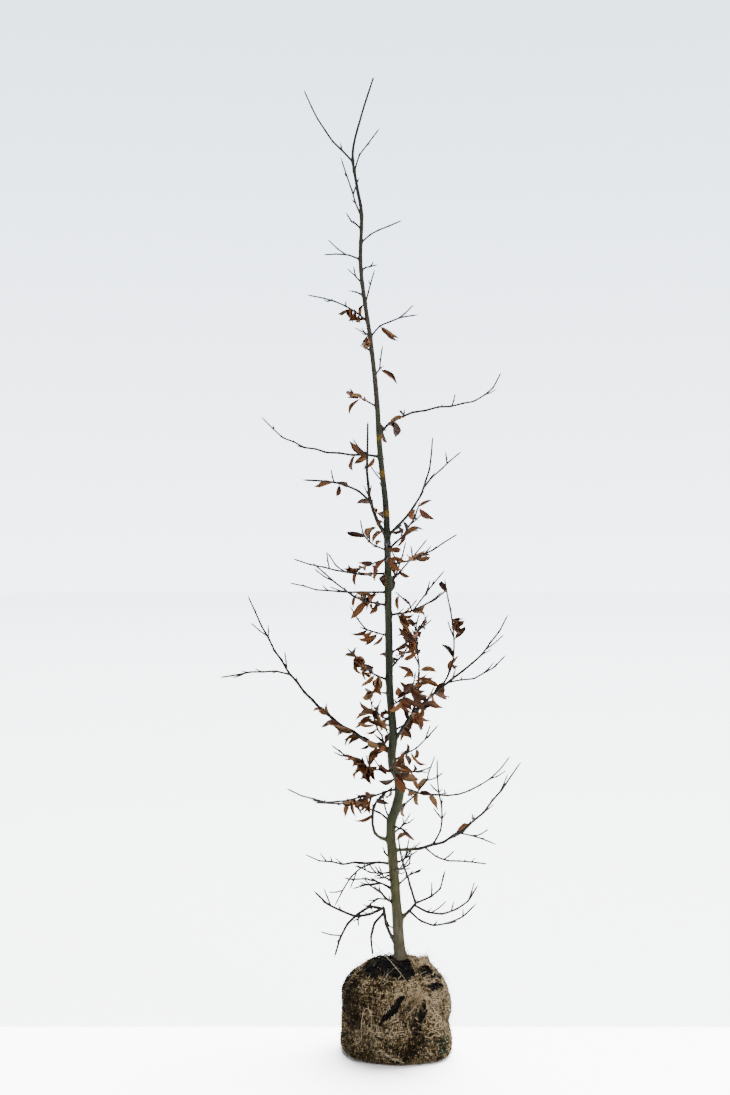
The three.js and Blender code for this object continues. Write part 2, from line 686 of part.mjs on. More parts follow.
// A cutter with a lens outline: two arcs between two points, drawn through along an axis.
function lensCutter(length, width, depth) {
  const bow = (length * length) / (4 * width) + width / 4;
  const half = Math.asin(length / 2 / bow);
  const shape = new THREE.Shape();
  shape.absarc(0, width / 2 - bow, bow, Math.PI / 2 - half, Math.PI / 2 + half, false);
  shape.absarc(0, bow - width / 2, bow, (3 * Math.PI) / 2 - half, (3 * Math.PI) / 2 + half, false);
  return new THREE.ExtrudeGeometry(shape, { depth, bevelEnabled: false, curveSegments: 4 });
}

// Slits in the wrap's front: middle, length, width and tilt of each.
const SLITS = [
  { x: -12, z: 141, length: 92, width: 20, tilt: 54 },
  { x: 66, z: 128, length: 52, width: 11, tilt: 78 },
  { x: 88, z: 176, length: 50, width: 13, tilt: -14 },
];

function wrapSolid() {
  let wrap = ballSolid(0).subtract(ballSolid(HESSIAN));
  const mouth = new THREE.CylinderGeometry(1, 1, 120, 16);
  mouth.rotateX(Math.PI / 2);
  mouth.scale(66, 72, 1);
  mouth.translate(-22, -22, BALL_TOP);
  wrap = wrap.subtract(solidOf(mouth));
  for (const slit of SLITS) {
    const cutter = lensCutter(slit.length, slit.width, BALL.halfDepth);
    cutter.rotateZ(rad(slit.tilt));
    cutter.rotateX(Math.PI / 2);
    cutter.translate(slit.x, -20, slit.z);
    wrap = wrap.subtract(solidOf(cutter));
  }
  return mainBody(wrap);
}

// The tied ends of the hessian: a squat bunch with pleats, cut clear of the wrap.
const KNOT = { x: 46, z: 166, radius: 24, pleats: 6 };

function knotSolid() {
  const outline = [
    [0, -26],
    [0.75, -26],
    [0.95, -8],
    [0.55, 2],
    [0.7, 12],
    [1.0, 22],
    [0.6, 28],
    [0, 26],
  ].map(([share, z]) => new THREE.Vector2(share * KNOT.radius, z));
  const lathe = new THREE.LatheGeometry(outline, KNOT.pleats * 3);
  const position = lathe.getAttribute("position");
  for (let i = 0; i < position.count; i++) {
    const angle = Math.atan2(position.getZ(i), position.getX(i));
    const share = 1 + 0.16 * Math.cos(KNOT.pleats * angle);
    position.setX(i, position.getX(i) * share);
    position.setZ(i, position.getZ(i) * share);
  }
  lathe.rotateX(Math.PI);
  lathe.rotateX(rad(-14));
  lathe.translate(KNOT.x, -BALL.halfDepth + 10, KNOT.z);
  return mainBody(solidOf(lathe).subtract(ballSolid(-CLEAR)));
}

// ---------------------------------------------------------------- the tree

const tree = new THREE.Group();

function addPart(name, solid, finish) {
  const [color, roughness] = FINISH[finish];
  const part = new THREE.Mesh(geometryOf(solid), new THREE.MeshStandardMaterial({ color, roughness }));
  part.name = name;
  tree.add(part);
}

const trunk = trunkSolid(0);
const aroundTrunk = trunkSolid(CLEAR);

addPart("trunk", trunk, "bark");
addPart("tie_band", tieSolid(), "tape");
addPart("soil", mainBody(ballSolid(HESSIAN + CLEAR).subtract(aroundTrunk)), "soil");
addPart("hessian_wrap", wrapSolid().subtract(aroundTrunk), "hessian");
addPart("hessian_knot", knotSolid(), "hessian");

for (const plan of planCrown()) {
  const { limb, main, stems, twigs, leaves } = plan;
  const pieces = [];
  stems.forEach((stem, i) => {
    const bare = i === 0 ? stem.from : 0;
    pieces.push(stemSolid(bare ? stemFrom(stem.line, bare, CLEAR) : stem.line));
  });
  twigs.forEach((twig) => pieces.push(solidOf(tubeGeometry(twig.points, twig.radii, 3))));
  leaves.forEach((leaf) => pieces.push(leafSolid(leaf)));
  let spray = wasm.Manifold.union(pieces);
  if (limb.bough) {
    const bough = stemSolid(stemUpTo(main, stems[0].from)).subtract(aroundTrunk);
    addPart(limb.name + "_bough", mainBody(bough), "bark");
  } else {
    spray = mainBody(spray.subtract(aroundTrunk));
  }
  addPart(limb.name, mainBody(spray).simplify(0.02), "twig");
}

export default tree;
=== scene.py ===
"""A winter sapling on its root ball: bark, twigs, buds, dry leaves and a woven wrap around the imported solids.

The crown grows by the same seeded rule as the solids do, bud by bud, and is carried on to finer twigs
within the same reach. The ball is earth in a net of single hessian yarns, gathered into a knot in front.

The rule works in millimetres and the meshes are in metres. +X is to the right and -Y to the front.
"""

import functools
import math
from types import SimpleNamespace as Record

import bpy
import numpy as np
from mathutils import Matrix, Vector, noise


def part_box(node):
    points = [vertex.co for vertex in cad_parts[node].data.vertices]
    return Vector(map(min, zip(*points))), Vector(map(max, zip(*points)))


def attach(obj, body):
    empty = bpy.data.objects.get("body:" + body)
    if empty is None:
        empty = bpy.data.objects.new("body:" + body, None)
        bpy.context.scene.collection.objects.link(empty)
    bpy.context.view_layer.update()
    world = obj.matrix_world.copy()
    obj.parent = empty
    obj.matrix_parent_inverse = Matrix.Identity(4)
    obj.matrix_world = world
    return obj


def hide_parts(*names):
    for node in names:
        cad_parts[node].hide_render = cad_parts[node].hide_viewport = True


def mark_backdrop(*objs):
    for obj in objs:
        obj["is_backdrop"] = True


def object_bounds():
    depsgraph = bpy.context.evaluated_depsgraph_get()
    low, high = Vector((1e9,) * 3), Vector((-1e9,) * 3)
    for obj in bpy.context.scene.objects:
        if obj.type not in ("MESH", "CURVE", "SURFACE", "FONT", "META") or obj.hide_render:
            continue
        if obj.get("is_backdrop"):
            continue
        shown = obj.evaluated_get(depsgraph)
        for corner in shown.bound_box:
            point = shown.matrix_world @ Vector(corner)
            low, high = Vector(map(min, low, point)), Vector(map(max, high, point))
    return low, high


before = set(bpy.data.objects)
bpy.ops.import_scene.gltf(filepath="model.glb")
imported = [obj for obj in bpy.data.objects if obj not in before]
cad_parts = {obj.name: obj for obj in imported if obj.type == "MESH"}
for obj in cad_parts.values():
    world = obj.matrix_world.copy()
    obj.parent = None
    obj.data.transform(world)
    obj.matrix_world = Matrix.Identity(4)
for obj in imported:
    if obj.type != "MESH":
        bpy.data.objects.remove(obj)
CAD_BOX = [list(corner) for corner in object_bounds()]

bl_info = {
    "name": "Root-balled sapling",
    "version": (1, 0, 0),
    "blender": (4, 5, 0),
    "location": "View3D > Sidebar > Sapling",
    "description": "Bark, twigs, dry leaves and a woven wrap around a sapling's packed solids",
    "category": "Object",
}

MM = 0.001
UP = np.array([0.0, 0.0, 1.0])
BODY = "root"

# Where each kind of chance starts from, so that a change to one leaves the others alone.
SEEDS = {
    "limbs": 7919, "fine": 104729, "tufts": 15485863, "buds": 6151, "blades": 3571,
    "scars": 5, "wrinkles": 7, "lattice": 11, "yarns": 23, "crumbs": 37, "knot": 53, "fibres": 71,
    "roots": 89,
}

# ---------------- the tree's driving dimensions

BALL = Record(half_width=138.5, half_depth=130.0, squareness=2.5)
BALL_TOP = 232.0
KNOT = np.array([46.0, -122.0, 166.0])

# Outline of the wrapped ball from its flat underside up: share of the half width, and height.
BALL_OUTLINE = [
    (0.5, 3.0), (0.8, 3.0), (0.935, 3.4), (0.99, 10), (1.005, 25), (0.985, 62), (0.975, 118),
    (0.955, 150), (0.845, 186), (0.65, 208), (0.42, 222), (0.2, 229),
]

# Slits in the wrap's front: middle x and z, length, width and tilt of each.
SLITS = [(-14, 139, 106, 21, 48), (59, 133, 64, 22, 78), (93, 181, 58, 17, -15)]

# The wrap's mouth round the trunk: middle x and y, half its width and depth, and its turn.
MOUTH = (-22, -22, 66, 72, 0)

# Soft folds over the wrap's front: x and z of both ends, height (or depth) and half width.
CREASES = [
    (22, 158, -62, 76, 7, 8), (68, 152, 100, 104, 6, 9), (47, 140, 40, 62, -5, 10), (-58, 70, -40, 24, 5, 9),
]

# Where the mouth's rim bulges out or in: at which angle, how broadly and how far.
MOUTH_TEARS = [(0.35, 0.12, 0.2), (-0.95, 0.07, -0.26), (3.1, 0.2, 0.1)]

# Smaller holes worn in the wrap's right shoulder, and the line and height of the fold that stands up
# between them and the mouth.
HOLES = [(88, -41, 40, 17, 45), (49, -14, 8, 12, 0)]
FOLD = [(44, -108, 4), (55, -66, 7), (66, -30, 11), (79, 2, 25), (58, 22, 4), (28, 22, 0)]

# The trunk's middle line and radius, from its foot to the leader's tip: z, x, y, radius.
TRUNK = [
    (214, 10, 0, 15.2), (234, 9, 0, 14.2), (262, 7, 0, 12.4), (300, 4, 0, 11.4), (355, 0, 1, 10.4),
    (467, -8, 2, 9.9), (569, -14, 3, 10.2), (614, 0, 3, 10.6), (655, 8, 2, 10.0), (688, 3, 0, 9.4),
    (718, -11, 0, 8.8), (800, -9, -2, 8.2), (904, -17, -3, 7.9), (1060, -20, 0, 7.6),
    (1274, -23, 6, 7.0), (1383, -28, 8, 6.2), (1513, -42, 8, 5.4), (1643, -50, 5, 4.7),
    (1778, -64, 0, 4.1), (1981, -91, -5, 3.6), (2117, -89, -4, 3.0), (2181, -100, -2, 2.5),
    (2268, -111, 0, 1.9), (2362, -90, 4, 1.3), (2461, -59, 8, 0.9),
]

TIE_HEIGHT = 1279.0  # a band of dark tape round the trunk

RULE = Record(
    bud_gap=36.0, zigzag=1.3, tip=0.75, twig_radius=0.95, twig_tip=0.65,
    twig_angle=48.0, keep_off=2.0, leaf_length=(38.0, 62.0), leaf_width=0.4, leafy=(0.1, 0.95),
    last_leaf=0.985, wobble=3.2, taper=0.85, handle=0.4, off_the_ball=20, test_gap=3,
)


def limb(name, z, turn, out, up, leave, end, twigs=0, leaves=0, leafy=None, thick=None, bough=0, forks=()):
    """A side limb. z: where it leaves the trunk. turn: its direction in plan. out, up: from base to tip.

    leave, end: its slope at both ends. bough: the bare share. twigs, leaves: how many. leafy: where
    leaves hang, as shares of its length. thick: its radius at its base. forks: the stems that leave it.
    """
    return Record(**locals())


def fork(at, turn, out, up, leave, end, thick, twigs=0, leaves=0, leafy=None):
    """A stem that leaves a limb at a share of its length."""
    return Record(**locals())


LIMBS = [
    limb("foot_left", 247, 192, 42, 114, 60, 88, thick=2.3, bough=0.62, forks=(
        fork(0.97, 190, 124, -109, 22, -80, 1.6, 2), fork(0.9, 166, 31, -106, -35, -100, 1.3, 1),
        fork(0.99, 182, 172, 40, -35, 48, 1.4, 2))),
    limb("foot_right", 322, 350, 47, 50, 38, 52, thick=3.4, bough=0.45, forks=(
        fork(0.98, 208, 50, 170, 74, 84, 1.7, 1), fork(0.99, 20, 76, 66, 8, 98, 1.4, 2),
        fork(0.9, 345, 160, 54, -38, 66, 1.6, 3), fork(0.62, 4, 165, 10, -58, 52, 1.4, 1))),
    limb("low_left", 369, 214, 79, 54, 12, 18, 3, thick=2.3, forks=(
        fork(0.3, 205, 64, -22, 10, -60, 1.2, 1),)),
    limb("low_left_thin", 403, 150, 119, -9, 26, -26, 2),
    limb("low_back", 430, 78, 200, 60, 12, 48, 2),
    limb("left_level", 468, 150, 258, -4, 2, 16, 2, thick=2.0, forks=(
        fork(0.18, 166, 105, -110, -12, -62, 1.2, 2),)),
    limb("low_front", 452, 283, 170, 74, 20, 52, 2),
    limb("long_right_low", 503, 331, 348, 241, 4, 56, 3, 1, (0.38, 0.42), 2.5, 0.16, forks=(
        fork(0.2, 319, 188, -16, -34, -2, 1.2, 2), fork(0.26, 19, 11, 206, 50, 84, 1.3, 2),
        fork(0.45, 351, 87, -24, -12, -22, 1.0, 1))),
    limb("arch_left", 528, 196, 50, 48, -6, 94, thick=2.8, bough=0.93, forks=(
        fork(0.98, 340, 52, 92, 98, 34, 2.0, 3, 1),)),
    limb("left_leafy_low", 574, 158, 206, 36, 34, -2, 2, 4, (0.2, 0.66), 1.6),
    limb("right_back_low", 592, 58, 210, 120, 20, 62, 2, 2),
    limb("left_level_high", 660, 206, 305, 18, -8, 30, 2, 5, (0.06, 0.44), 1.5),
    limb("right_level", 666, 30, 336, 46, -24, 46, 2, 2, (0.05, 0.2), 1.6),
    limb("front_leafy_low", 676, 262, 120, 66, 24, 60, 0, 5, (0.2, 1)),
    limb("left_leafy_rise", 704, 216, 188, 76, 4, 34, 2, 6, (0.15, 0.7), 1.5),
    limb("back_low", 734, 104, 240, 150, 30, 62, 2, 3),
    limb("long_left", 750, 160, 396, 387, 20, 64, 3, 6, (0.02, 0.22), 2.7, 0.24, forks=(
        fork(0.61, 173, 180, -8, 16, -8, 1.1, 1),)),
    limb("long_right", 765, 338, 300, 333, 66, 64, 3, 7, (0.1, 0.42), 2.6, 0.12, forks=(
        fork(0.2, 312, 16, 232, 62, 92, 1.5, 3, 8), fork(0.36, 12, 39, 288, 36, 100, 1.3, 3, 4),
        fork(0.5, 326, 159, 70, 8, 48, 1.1, 1))),
    limb("front_leafy", 868, 296, 132, 92, 22, 66, 0, 6, (0.15, 1)),
    limb("left_leafy_high", 934, 204, 103, 74, 14, 46, 2, 7, (0.15, 1), 1.7),
    limb("back_leafy", 960, 66, 200, 130, 20, 60, 2, 4),
    limb("right_leafy_high", 1000, 12, 97, 92, 26, 60, 2, 6, (0.1, 0.9)),
    limb("left_rise", 1046, 140, 124, 66, 4, 62, 1, 2, (0.05, 0.5)),
    limb("right_fork", 1098, 338, 70, 16, 4, 20, 1, 5, (0.2, 0.9), 1.7, forks=(
        fork(0.96, 0, 74, 94, 50, 46, 1.0, 1), fork(0.99, 333, 83, 46, 20, 40, 1.0, 1),
        fork(0.9, 156, 39, 42, 70, 30, 1.0, 0, 2))),
    limb("left_rise_long", 1123, 212, 216, 105, 4, 38, 2, 2, (0.1, 0.4), 1.6),
    limb("left_level_thin", 1157, 153, 281, 19, 0, 14, 1, 2, (0.05, 0.3)),
    limb("right_upright", 1170, 40, 58, 110, 40, 66, 1, 2, (0.02, 0.5), forks=(
        fork(0.25, 16, 82, 92, 44, 50, 1.0, 1),)),
    limb("left_slender", 1204, 200, 246, 36, -2, 16, 1, 2, (0.02, 0.2), forks=(
        fork(0.36, 222, 81, 46, 4, 58, 0.9),)),
    limb("right_slender", 1224, 325, 201, 76, 10, 30, 1, 2, (0.2, 0.5)),
    limb("left_leafy_top", 1240, 168, 80, -26, -20, -30, 0, 4, (0.3, 1)),
    limb("front_top", 1232, 268, 108, 40, 6, 50, 0, 3, (0.3, 1)),
    limb("left_hook", 1262, 228, 102, 72, 8, 80, 1, 2, (0.3, 0.7)),
    limb("right_leafy_top", 1262, 312, 114, 114, 34, 66, 1, 5, (0.35, 1), 1.7),
    limb("upright_left", 1296, 204, 54, 286, 52, 90, 2, 2, (0.03, 0.3), 2.2, 0.2, forks=(
        fork(0.33, 196, 170, 54, 44, 0, 1.2, 1, 2, (0.3, 0.7)),)),
    limb("upright_right", 1298, 342, 119, 244, 40, 88, 1, 1, (0.02, 0.2), 2.2, 0.2, forks=(
        fork(0.55, 18, 98, 92, 52, 42, 1.1, 1),)),
    limb("back_high", 1400, 94, 170, 120, 26, 62, 1),
    limb("high_left", 1500, 155, 338, 108, 8, 46, 1, 2, (0.02, 0.2), 1.8),
    limb("high_right", 1556, 20, 338, 166, 52, 66, 1, 3, (0.02, 0.12), 2.0),
    limb("high_front", 1690, 278, 118, 70, 24, 54, 0, 1, (0.3, 0.5)),
    limb("top_right", 1802, 332, 127, 47, 48, 4, 1, 1, (0.15, 0.3)),
    limb("top_left", 1842, 208, 163, 53, 36, 6, 1, 2, (0.05, 0.4)),
    limb("crown_left", 1998, 146, 107, 24, 28, 4, 1),
    limb("crown_right", 2040, 26, 111, 65, 46, 28),
    limb("crown_left_steep", 2104, 216, 61, 134, 62, 66, 1),
    limb("crown_right_steep", 2221, 328, 70, 94, 78, 44),
    limb("leader_left", 2246, 166, 127, 186, 44, 66, thick=1.5),
]

# Small spurs that stand between the limbs.
SPURS = [
    limb("top_upright", 1884, 50, 34, 86, 74, 72),
    limb("top_back", 1935, 108, 70, 52, 26, 50),
    limb("spur_left", 1768, 202, 24, 16, 20, 50, 0, 3, (0.2, 1)),
    limb("left_leafy_short", 830, 214, 56, 40, 20, 60, 0, 3, (0.3, 1)),
    limb("right_leaf_low", 562, 318, 52, -12, 8, -40, 0, 2, (0.4, 1)),
    limb("high_left_leafy", 1626, 196, 60, 28, 24, 22, 0, 3, (0.4, 1)),
    limb("stub_low", 474, 186, 25, 34, 40, 60),
    limb("stub_level", 436, 170, 45, -5, 4, -10),
    limb("stub_middle", 572, 184, 20, 66, 60, 80),
    limb("stub_leafy", 780, 170, 24, 50, 50, 70, 0, 2, (0.3, 1)),
    limb("stub_short", 900, 172, 43, 5, 10, 10, 0, 1, (0.5, 1)),
    limb("stub_high", 1804, 160, 19, 17, 40, 60),
    limb("stub_higher", 1906, 190, 31, 11, 30, 10),
    limb("stub_right", 1969, 20, 39, 17, 40, 20),
    limb("stub_top", 2075, 176, 36, 37, 40, 60),
    limb("right_thin", 728, 14, 118, 84, 24, 50, 2, 3, (0.1, 0.5)),
    limb("right_thin_low", 694, 346, 74, 10, 20, -10, 1, 2, (0.2, 0.8)),
    limb("right_thin_high", 806, 26, 92, 66, 20, 44, 2, 3, (0.1, 0.5)),
    limb("wisp_left", 398, 186, 116, 34, 34, -10, 3),
    limb("wisp_left_high", 448, 200, 96, 22, -6, 36, 3),
    limb("wisp_right", 408, 8, 64, 44, 40, 20, 2),
    limb("wisp_right_high", 470, 350, 44, 30, 10, 60, 1),
    limb("wisp_front", 420, 236, 70, 52, 30, 66, 2),
    limb("wisp_back", 540, 40, 62, 44, 20, 50, 2),
    limb("wisp_low", 300, 150, 34, 22, 20, 60, 1),
]

# ---------------- the growth rule


def unit(v):
    return v / math.sqrt(v @ v)


def units(v, least=1e-9):
    """Vectors of length one. A little is added to each length, so that none is divided by zero."""
    return v / (np.linalg.norm(v, axis=-1)[..., None] + least)


def turned(v, axis, angle):
    """v turned about an axis of length one."""
    c, s = math.cos(angle), math.sin(angle)
    return v * c + np.cross(axis, v) * s + axis * (axis @ v) * (1 - c)


def numbers_for(use, number=0):
    """Numbers from 0 to 1 that repeat for the same use and limb."""
    state = SEEDS[use] * (number + 1)

    def draw():
        nonlocal state
        state = (state * 1664525 + 1013904223) % 2**32
        return state / 2**32

    return draw


def spline_at(points, share):
    """The place at a share of a centripetal Catmull-Rom spline."""
    place = (len(points) - 1) * share
    i = min(int(place), len(points) - 2)
    t = place - i
    before = points[i - 1] if i > 0 else 2 * points[0] - points[1]
    after = points[i + 2] if i + 2 < len(points) else 2 * points[-1] - points[-2]
    a, b, c, d = before, points[i], points[i + 1], after
    ab, bc, cd = (((q - p) @ (q - p)) ** 0.25 for p, q in ((a, b), (b, c), (c, d)))
    leave = ((b - a) / ab - (c - a) / (ab + bc) + (c - b) / bc) * bc
    reach = ((c - b) / bc - (d - b) / (bc + cd) + (d - c) / cd) * bc
    return b + leave * t + (3 * (c - b) - 2 * leave - reach) * t**2 + (2 * (b - c) + leave + reach) * t**3


TRUNK_LINE = [np.array([x, y, z], float) for z, x, y, _ in TRUNK]
TRUNK_GIRTH = [np.array([r, 0, z], float) for z, _, _, r in TRUNK]


@functools.cache
def trunk_at(z):
    """The trunk's middle and radius at a height."""
    low, high = 0.0, 1.0
    for _ in range(30):
        middle = (low + high) / 2
        if spline_at(TRUNK_LINE, middle)[2] < z:
            low = middle
        else:
            high = middle
    return spline_at(TRUNK_LINE, low), spline_at(TRUNK_GIRTH, low)[0]


class Line:
    """A stem or twig: its points and its radius at each."""

    def __init__(self, points, radii):
        self.points = [np.asarray(p, float) for p in points]
        self.radii = list(radii)

    def spot(self, share):
        """The place, direction and radius at a share of the line."""
        along = share * (len(self.points) - 1)
        i = min(int(along), len(self.points) - 2)
        step = self.points[i + 1] - self.points[i]
        r = self.radii[i] + (self.radii[i + 1] - self.radii[i]) * (along - i)
        return self.points[i] + step * (along - i), unit(step), r


def grow_stem(base, stem, draw):
    """A stem that zigzags from bud to bud along a curve from its base to its tip."""
    turn = math.radians(stem.turn)
    way = np.array([math.cos(turn), math.sin(turn), 0.0])

    def slope(degrees):
        return way * math.cos(math.radians(degrees)) + UP * math.sin(math.radians(degrees))

    span = math.hypot(stem.out, stem.up)
    tip = base + way * stem.out + UP * stem.up
    leave, reach = slope(stem.leave) * span * RULE.handle, slope(stem.end) * span * RULE.handle
    corners = [base, base + leave, tip - reach, tip]

    def curve(t):
        weights = ((1 - t) ** 3, 3 * t * (1 - t) ** 2, 3 * t * t * (1 - t), t**3)
        return sum(w * c for w, c in zip(weights, corners))

    samples = np.array([curve(i / 200) for i in range(201)])
    length = np.linalg.norm(np.diff(samples, axis=0), axis=1).sum()
    count = max(3, math.floor(length / RULE.bud_gap + 0.5))
    thick = stem.thick or 0.9 + span * 0.0022
    sideways = np.cross(way, UP)
    points, radii = [], []
    for i in range(count + 1):
        share = i / count
        inside = 1 if 0 < i < count else 0
        side = (1 if i % 2 else -1) * RULE.zigzag * inside
        point = curve(share) + sideways * (side + (draw() - 0.5) * RULE.wobble * inside)
        points.append(point + UP * (side * 0.7 + (draw() - 0.5) * RULE.wobble * inside))
        radii.append(RULE.tip + (thick - RULE.tip) * (1 - share) ** RULE.taper)
    return Line(points, radii)


def grow_twig(stem, share, side, draw, length=None):
    """A twig that leaves a stem at a bud, bending a little upwards."""
    point, way, _ = stem.spot(share)
    across = turned(unit(np.cross(way, UP)), way, (draw() - 0.5) * 1.6)
    angle = math.radians(RULE.twig_angle + (draw() - 0.5) * 24)
    way = way * math.cos(angle) + across * side * math.sin(angle)
    full = 26 + draw() * 34
    length = length or full
    points = [point]
    for i in (1, 2):
        way = unit(way + UP * 0.18)
        kink = (1 if i % 2 else -1) * length / full
        points.append(points[-1] + way * length / 2 + across * kink)
    slim = RULE.twig_tip - RULE.twig_radius
    return Line(points, [RULE.twig_radius + slim * i / 2 for i in range(3)])


def grow_leaf(stem, share, side, draw):
    """A dry leaf's place: its root, its direction, the way it faces, its length, curl and fold."""
    root, way, _ = stem.spot(share)
    across = unit(np.cross(way, UP))
    shortest, longest = RULE.leaf_length
    length = shortest + (longest - shortest) * draw()
    along = way * (0.2 + draw() * 0.6)
    along = along + across * side * (0.5 + draw() * 0.5)
    along = unit(along + UP * (0.35 - draw() * 1.5))
    face = unit(turned(np.cross(along, UP), along, draw() * math.pi * 2))
    curl = length * (0.05 + 0.2 * draw())
    fold = 0.3 + 0.9 * draw()
    return Record(root=root, along=along, face=face, length=length, curl=curl, fold=fold)


LEAF_STATIONS = [(0, 0.06), (0.36, 1), (0.7, 0.74), (1, 0)]


def rib_of(leaf, side):
    """A line along the blade at a share of its half width."""
    points = []
    for t, share in LEAF_STATIONS:
        half = share * leaf.length * RULE.leaf_width / 2
        lift = abs(side) * half * leaf.fold * 0.7 - leaf.curl * t * t
        across = np.cross(leaf.face, leaf.along)
        spine = leaf.root + leaf.along * t * leaf.length
        points.append(spine + leaf.face * lift + across * side * half)
    return Line(points, [1, 1, 1, 1])


class Room:
    """Everything placed so far, as short rods, so that nothing new runs into it."""

    def __init__(self):
        self.rods = []
        self.owners = []
        self.stems = []
        self.packed = None

    def place(self, owner, line, kind):
        for i in range(len(line.points) - 1):
            thick = max(line.radii[i], line.radii[i + 1])
            self.rods.append([*line.points[i], *(line.points[i + 1] - line.points[i]), thick])
            self.owners.append(owner)
            self.stems.append(kind == "stem")
        self.packed = None

    def is_clear(self, owner, line, kind):
        """Whether a twig or leaf has room. It may touch its own limb's stems, and a twig its own twigs."""
        if self.packed is None:
            self.packed = np.array(self.rods), np.array(self.owners), np.array(self.stems)
        rods, owners, stems = self.packed
        own = owners == owner
        other = ~own | (~stems if kind == "leaf" else False)
        rods, own = rods[other], own[other]
        starts, steps = rods[:, :3], rods[:, 3:6]
        for i in range(len(line.points) - 1):
            start, end = line.points[i], line.points[i + 1]
            count = math.ceil(np.linalg.norm(end - start) / RULE.test_gap)
            samples = start + (end - start) * (np.arange(count + 1) / count)[:, None]
            low = samples[:, 2] < BALL_TOP + RULE.off_the_ball
            if (low & (np.hypot(*samples[:, :2].T) < BALL.half_width + RULE.off_the_ball)).any():
                return False
            away = samples[:, None, :] - starts[None]
            share = (away * steps).sum(2) / (steps * steps).sum(1)
            gap = np.linalg.norm(away - np.clip(share, 0, 1)[..., None] * steps, axis=2)
            room = max(line.radii[i], line.radii[i + 1]) + RULE.keep_off
            if (gap < room + rods[:, 6] - own).any():
                return False
        return True


def settle_twig(plan, room, twig, kept):
    """Keeps a twig if it has room."""
    if room.is_clear(plan.limb.name, twig, "twig"):
        room.place(plan.limb.name, twig, "twig")
        kept.append(twig)


def settle_leaf(plan, room, leaf, sides, kind):
    """Keeps a leaf if it has room, and tells whether it did."""
    ribs = [rib_of(leaf, side) for side in sides]
    if not all(room.is_clear(plan.limb.name, rib, kind) for rib in ribs):
        return False
    for rib in ribs:
        room.place(plan.limb.name, rib, "leaf")
    plan.leaves.append(leaf)
    return True


LEAF_TRIES, TUFT_TRIES = 9, 16


def fill_limb(plan, room):
    """Twigs and leaves of one limb, each where it has room."""
    draw = plan.draw
    for stem in plan.stems:
        spec, line = stem.spec, stem.line
        start = max(stem.bare + 0.06, 0.12)
        for i in range(spec.twigs):
            share = start + (0.94 - start) * (i + 0.3 + 0.4 * draw()) / spec.twigs
            settle_twig(plan, room, grow_twig(line, share, 1 if i % 2 else -1, draw), plan.twigs)
        first, last = spec.leafy or RULE.leafy
        low = max(first, stem.bare + 0.03)
        high = max(last, low + 0.12)
        for i in range(spec.leaves):
            share = min(low + (high - low) * (i + draw()) / spec.leaves, RULE.last_leaf)
            for attempt in range(LEAF_TRIES):
                leaf = grow_leaf(line, share, 1 if (i + attempt) % 2 else -1, draw)
                if settle_leaf(plan, room, leaf, (0, 0.5, -0.5, 1, -1), "leaf"):
                    break


def fill_fine(plan, room, share_of_buds):
    """Short fine twigs at some of the buds that are still free, within the limb's own reach."""
    draw = numbers_for("fine", plan.number)
    low, high = reach_of(plan.limb.name)
    for stem in plan.stems:
        count = len(stem.line.points) - 1
        for i in range(1, count):
            if i / count < max(stem.bare, 0.1) or draw() > share_of_buds:
                continue
            twig = grow_twig(stem.line, i / count, 1 if i % 2 else -1, draw, 8 + 24 * draw() ** 2)
            twig.radii = [0.6, 0.5, 0.42]
            if (twig.points[-1] > low).all() and (twig.points[-1] < high).all():
                settle_twig(plan, room, twig, plan.fine)


# Dry leaves that the boughs carry besides the rule's own, as they hang in thick tufts near the trunk.
TUFTS = {
    "left_level_high": 12, "right_level": 3, "front_leafy_low": 7, "left_leafy_rise": 18,
    "back_low": 5, "long_left": 12, "long_right": 24, "front_leafy": 17, "left_leafy_high": 14,
    "back_leafy": 7, "right_leafy_high": 4, "left_rise": 4, "right_fork": 3, "left_rise_long": 4,
    "left_level_thin": 4, "right_upright": 3, "left_slender": 3, "right_slender": 2, "left_leafy_top": 2,
    "front_top": 2, "left_hook": 3, "right_leafy_top": 2, "upright_left": 4, "upright_right": 4,
    "high_left": 3, "high_right": 5, "top_right": 1, "top_left": 6, "spur_left": 4,
    "left_leafy_short": 5, "high_left_leafy": 3, "stub_leafy": 3, "stub_short": 2,
    "right_thin": 5, "right_thin_low": 2, "right_thin_high": 6,
}


def fill_tufts(plan, room):
    """More leaves along the leafy stretches of a limb. Leaves of one limb may overlap."""
    draw = numbers_for("tufts", plan.number)
    leafy = [stem for stem in plan.stems if stem.spec.leaves]
    for _ in range(TUFTS.get(plan.limb.name, 0)):
        for attempt in range(TUFT_TRIES):
            stem = leafy[int(draw() * len(leafy))]
            first, last = stem.spec.leafy or RULE.leafy
            share = min(first + (max(last, first + 0.2) - first) * draw(), RULE.last_leaf)
            leaf = grow_leaf(stem.line, share, 1 if attempt % 2 else -1, draw)
            leaf.length *= 0.8 + 0.3 * draw()
            if settle_leaf(plan, room, leaf, (0, 0.5, -0.5), "loose leaf"):
                break


def reach_of(name):
    """The box that a limb's solid takes, in millimetres, or the whole object's for a spur."""
    low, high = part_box(name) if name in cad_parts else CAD_BOX
    return np.array(low) / MM, np.array(high) / MM


# Limbs that are stouter than the rule makes them.
STOUT = {"foot_left": 1.4, "foot_right": 1.12, "long_left": 1.15, "upright_left": 1.35, "arch_left": 1.1}

# The share of free buds that get a fine twig, below a height and above it.
FINE_HEIGHT, FINE_BELOW, FINE_ABOVE = 560, 0.8, 0.42


def stem_of(limb_name, spec, line, bare, host):
    """A stem and what its bark needs: the bare share, its host's radius, and the forks that it holds."""
    stout = STOUT.get(limb_name, 1.0)
    return Record(spec=spec, line=line, bare=bare, host=host, holds=[], stout=stout)


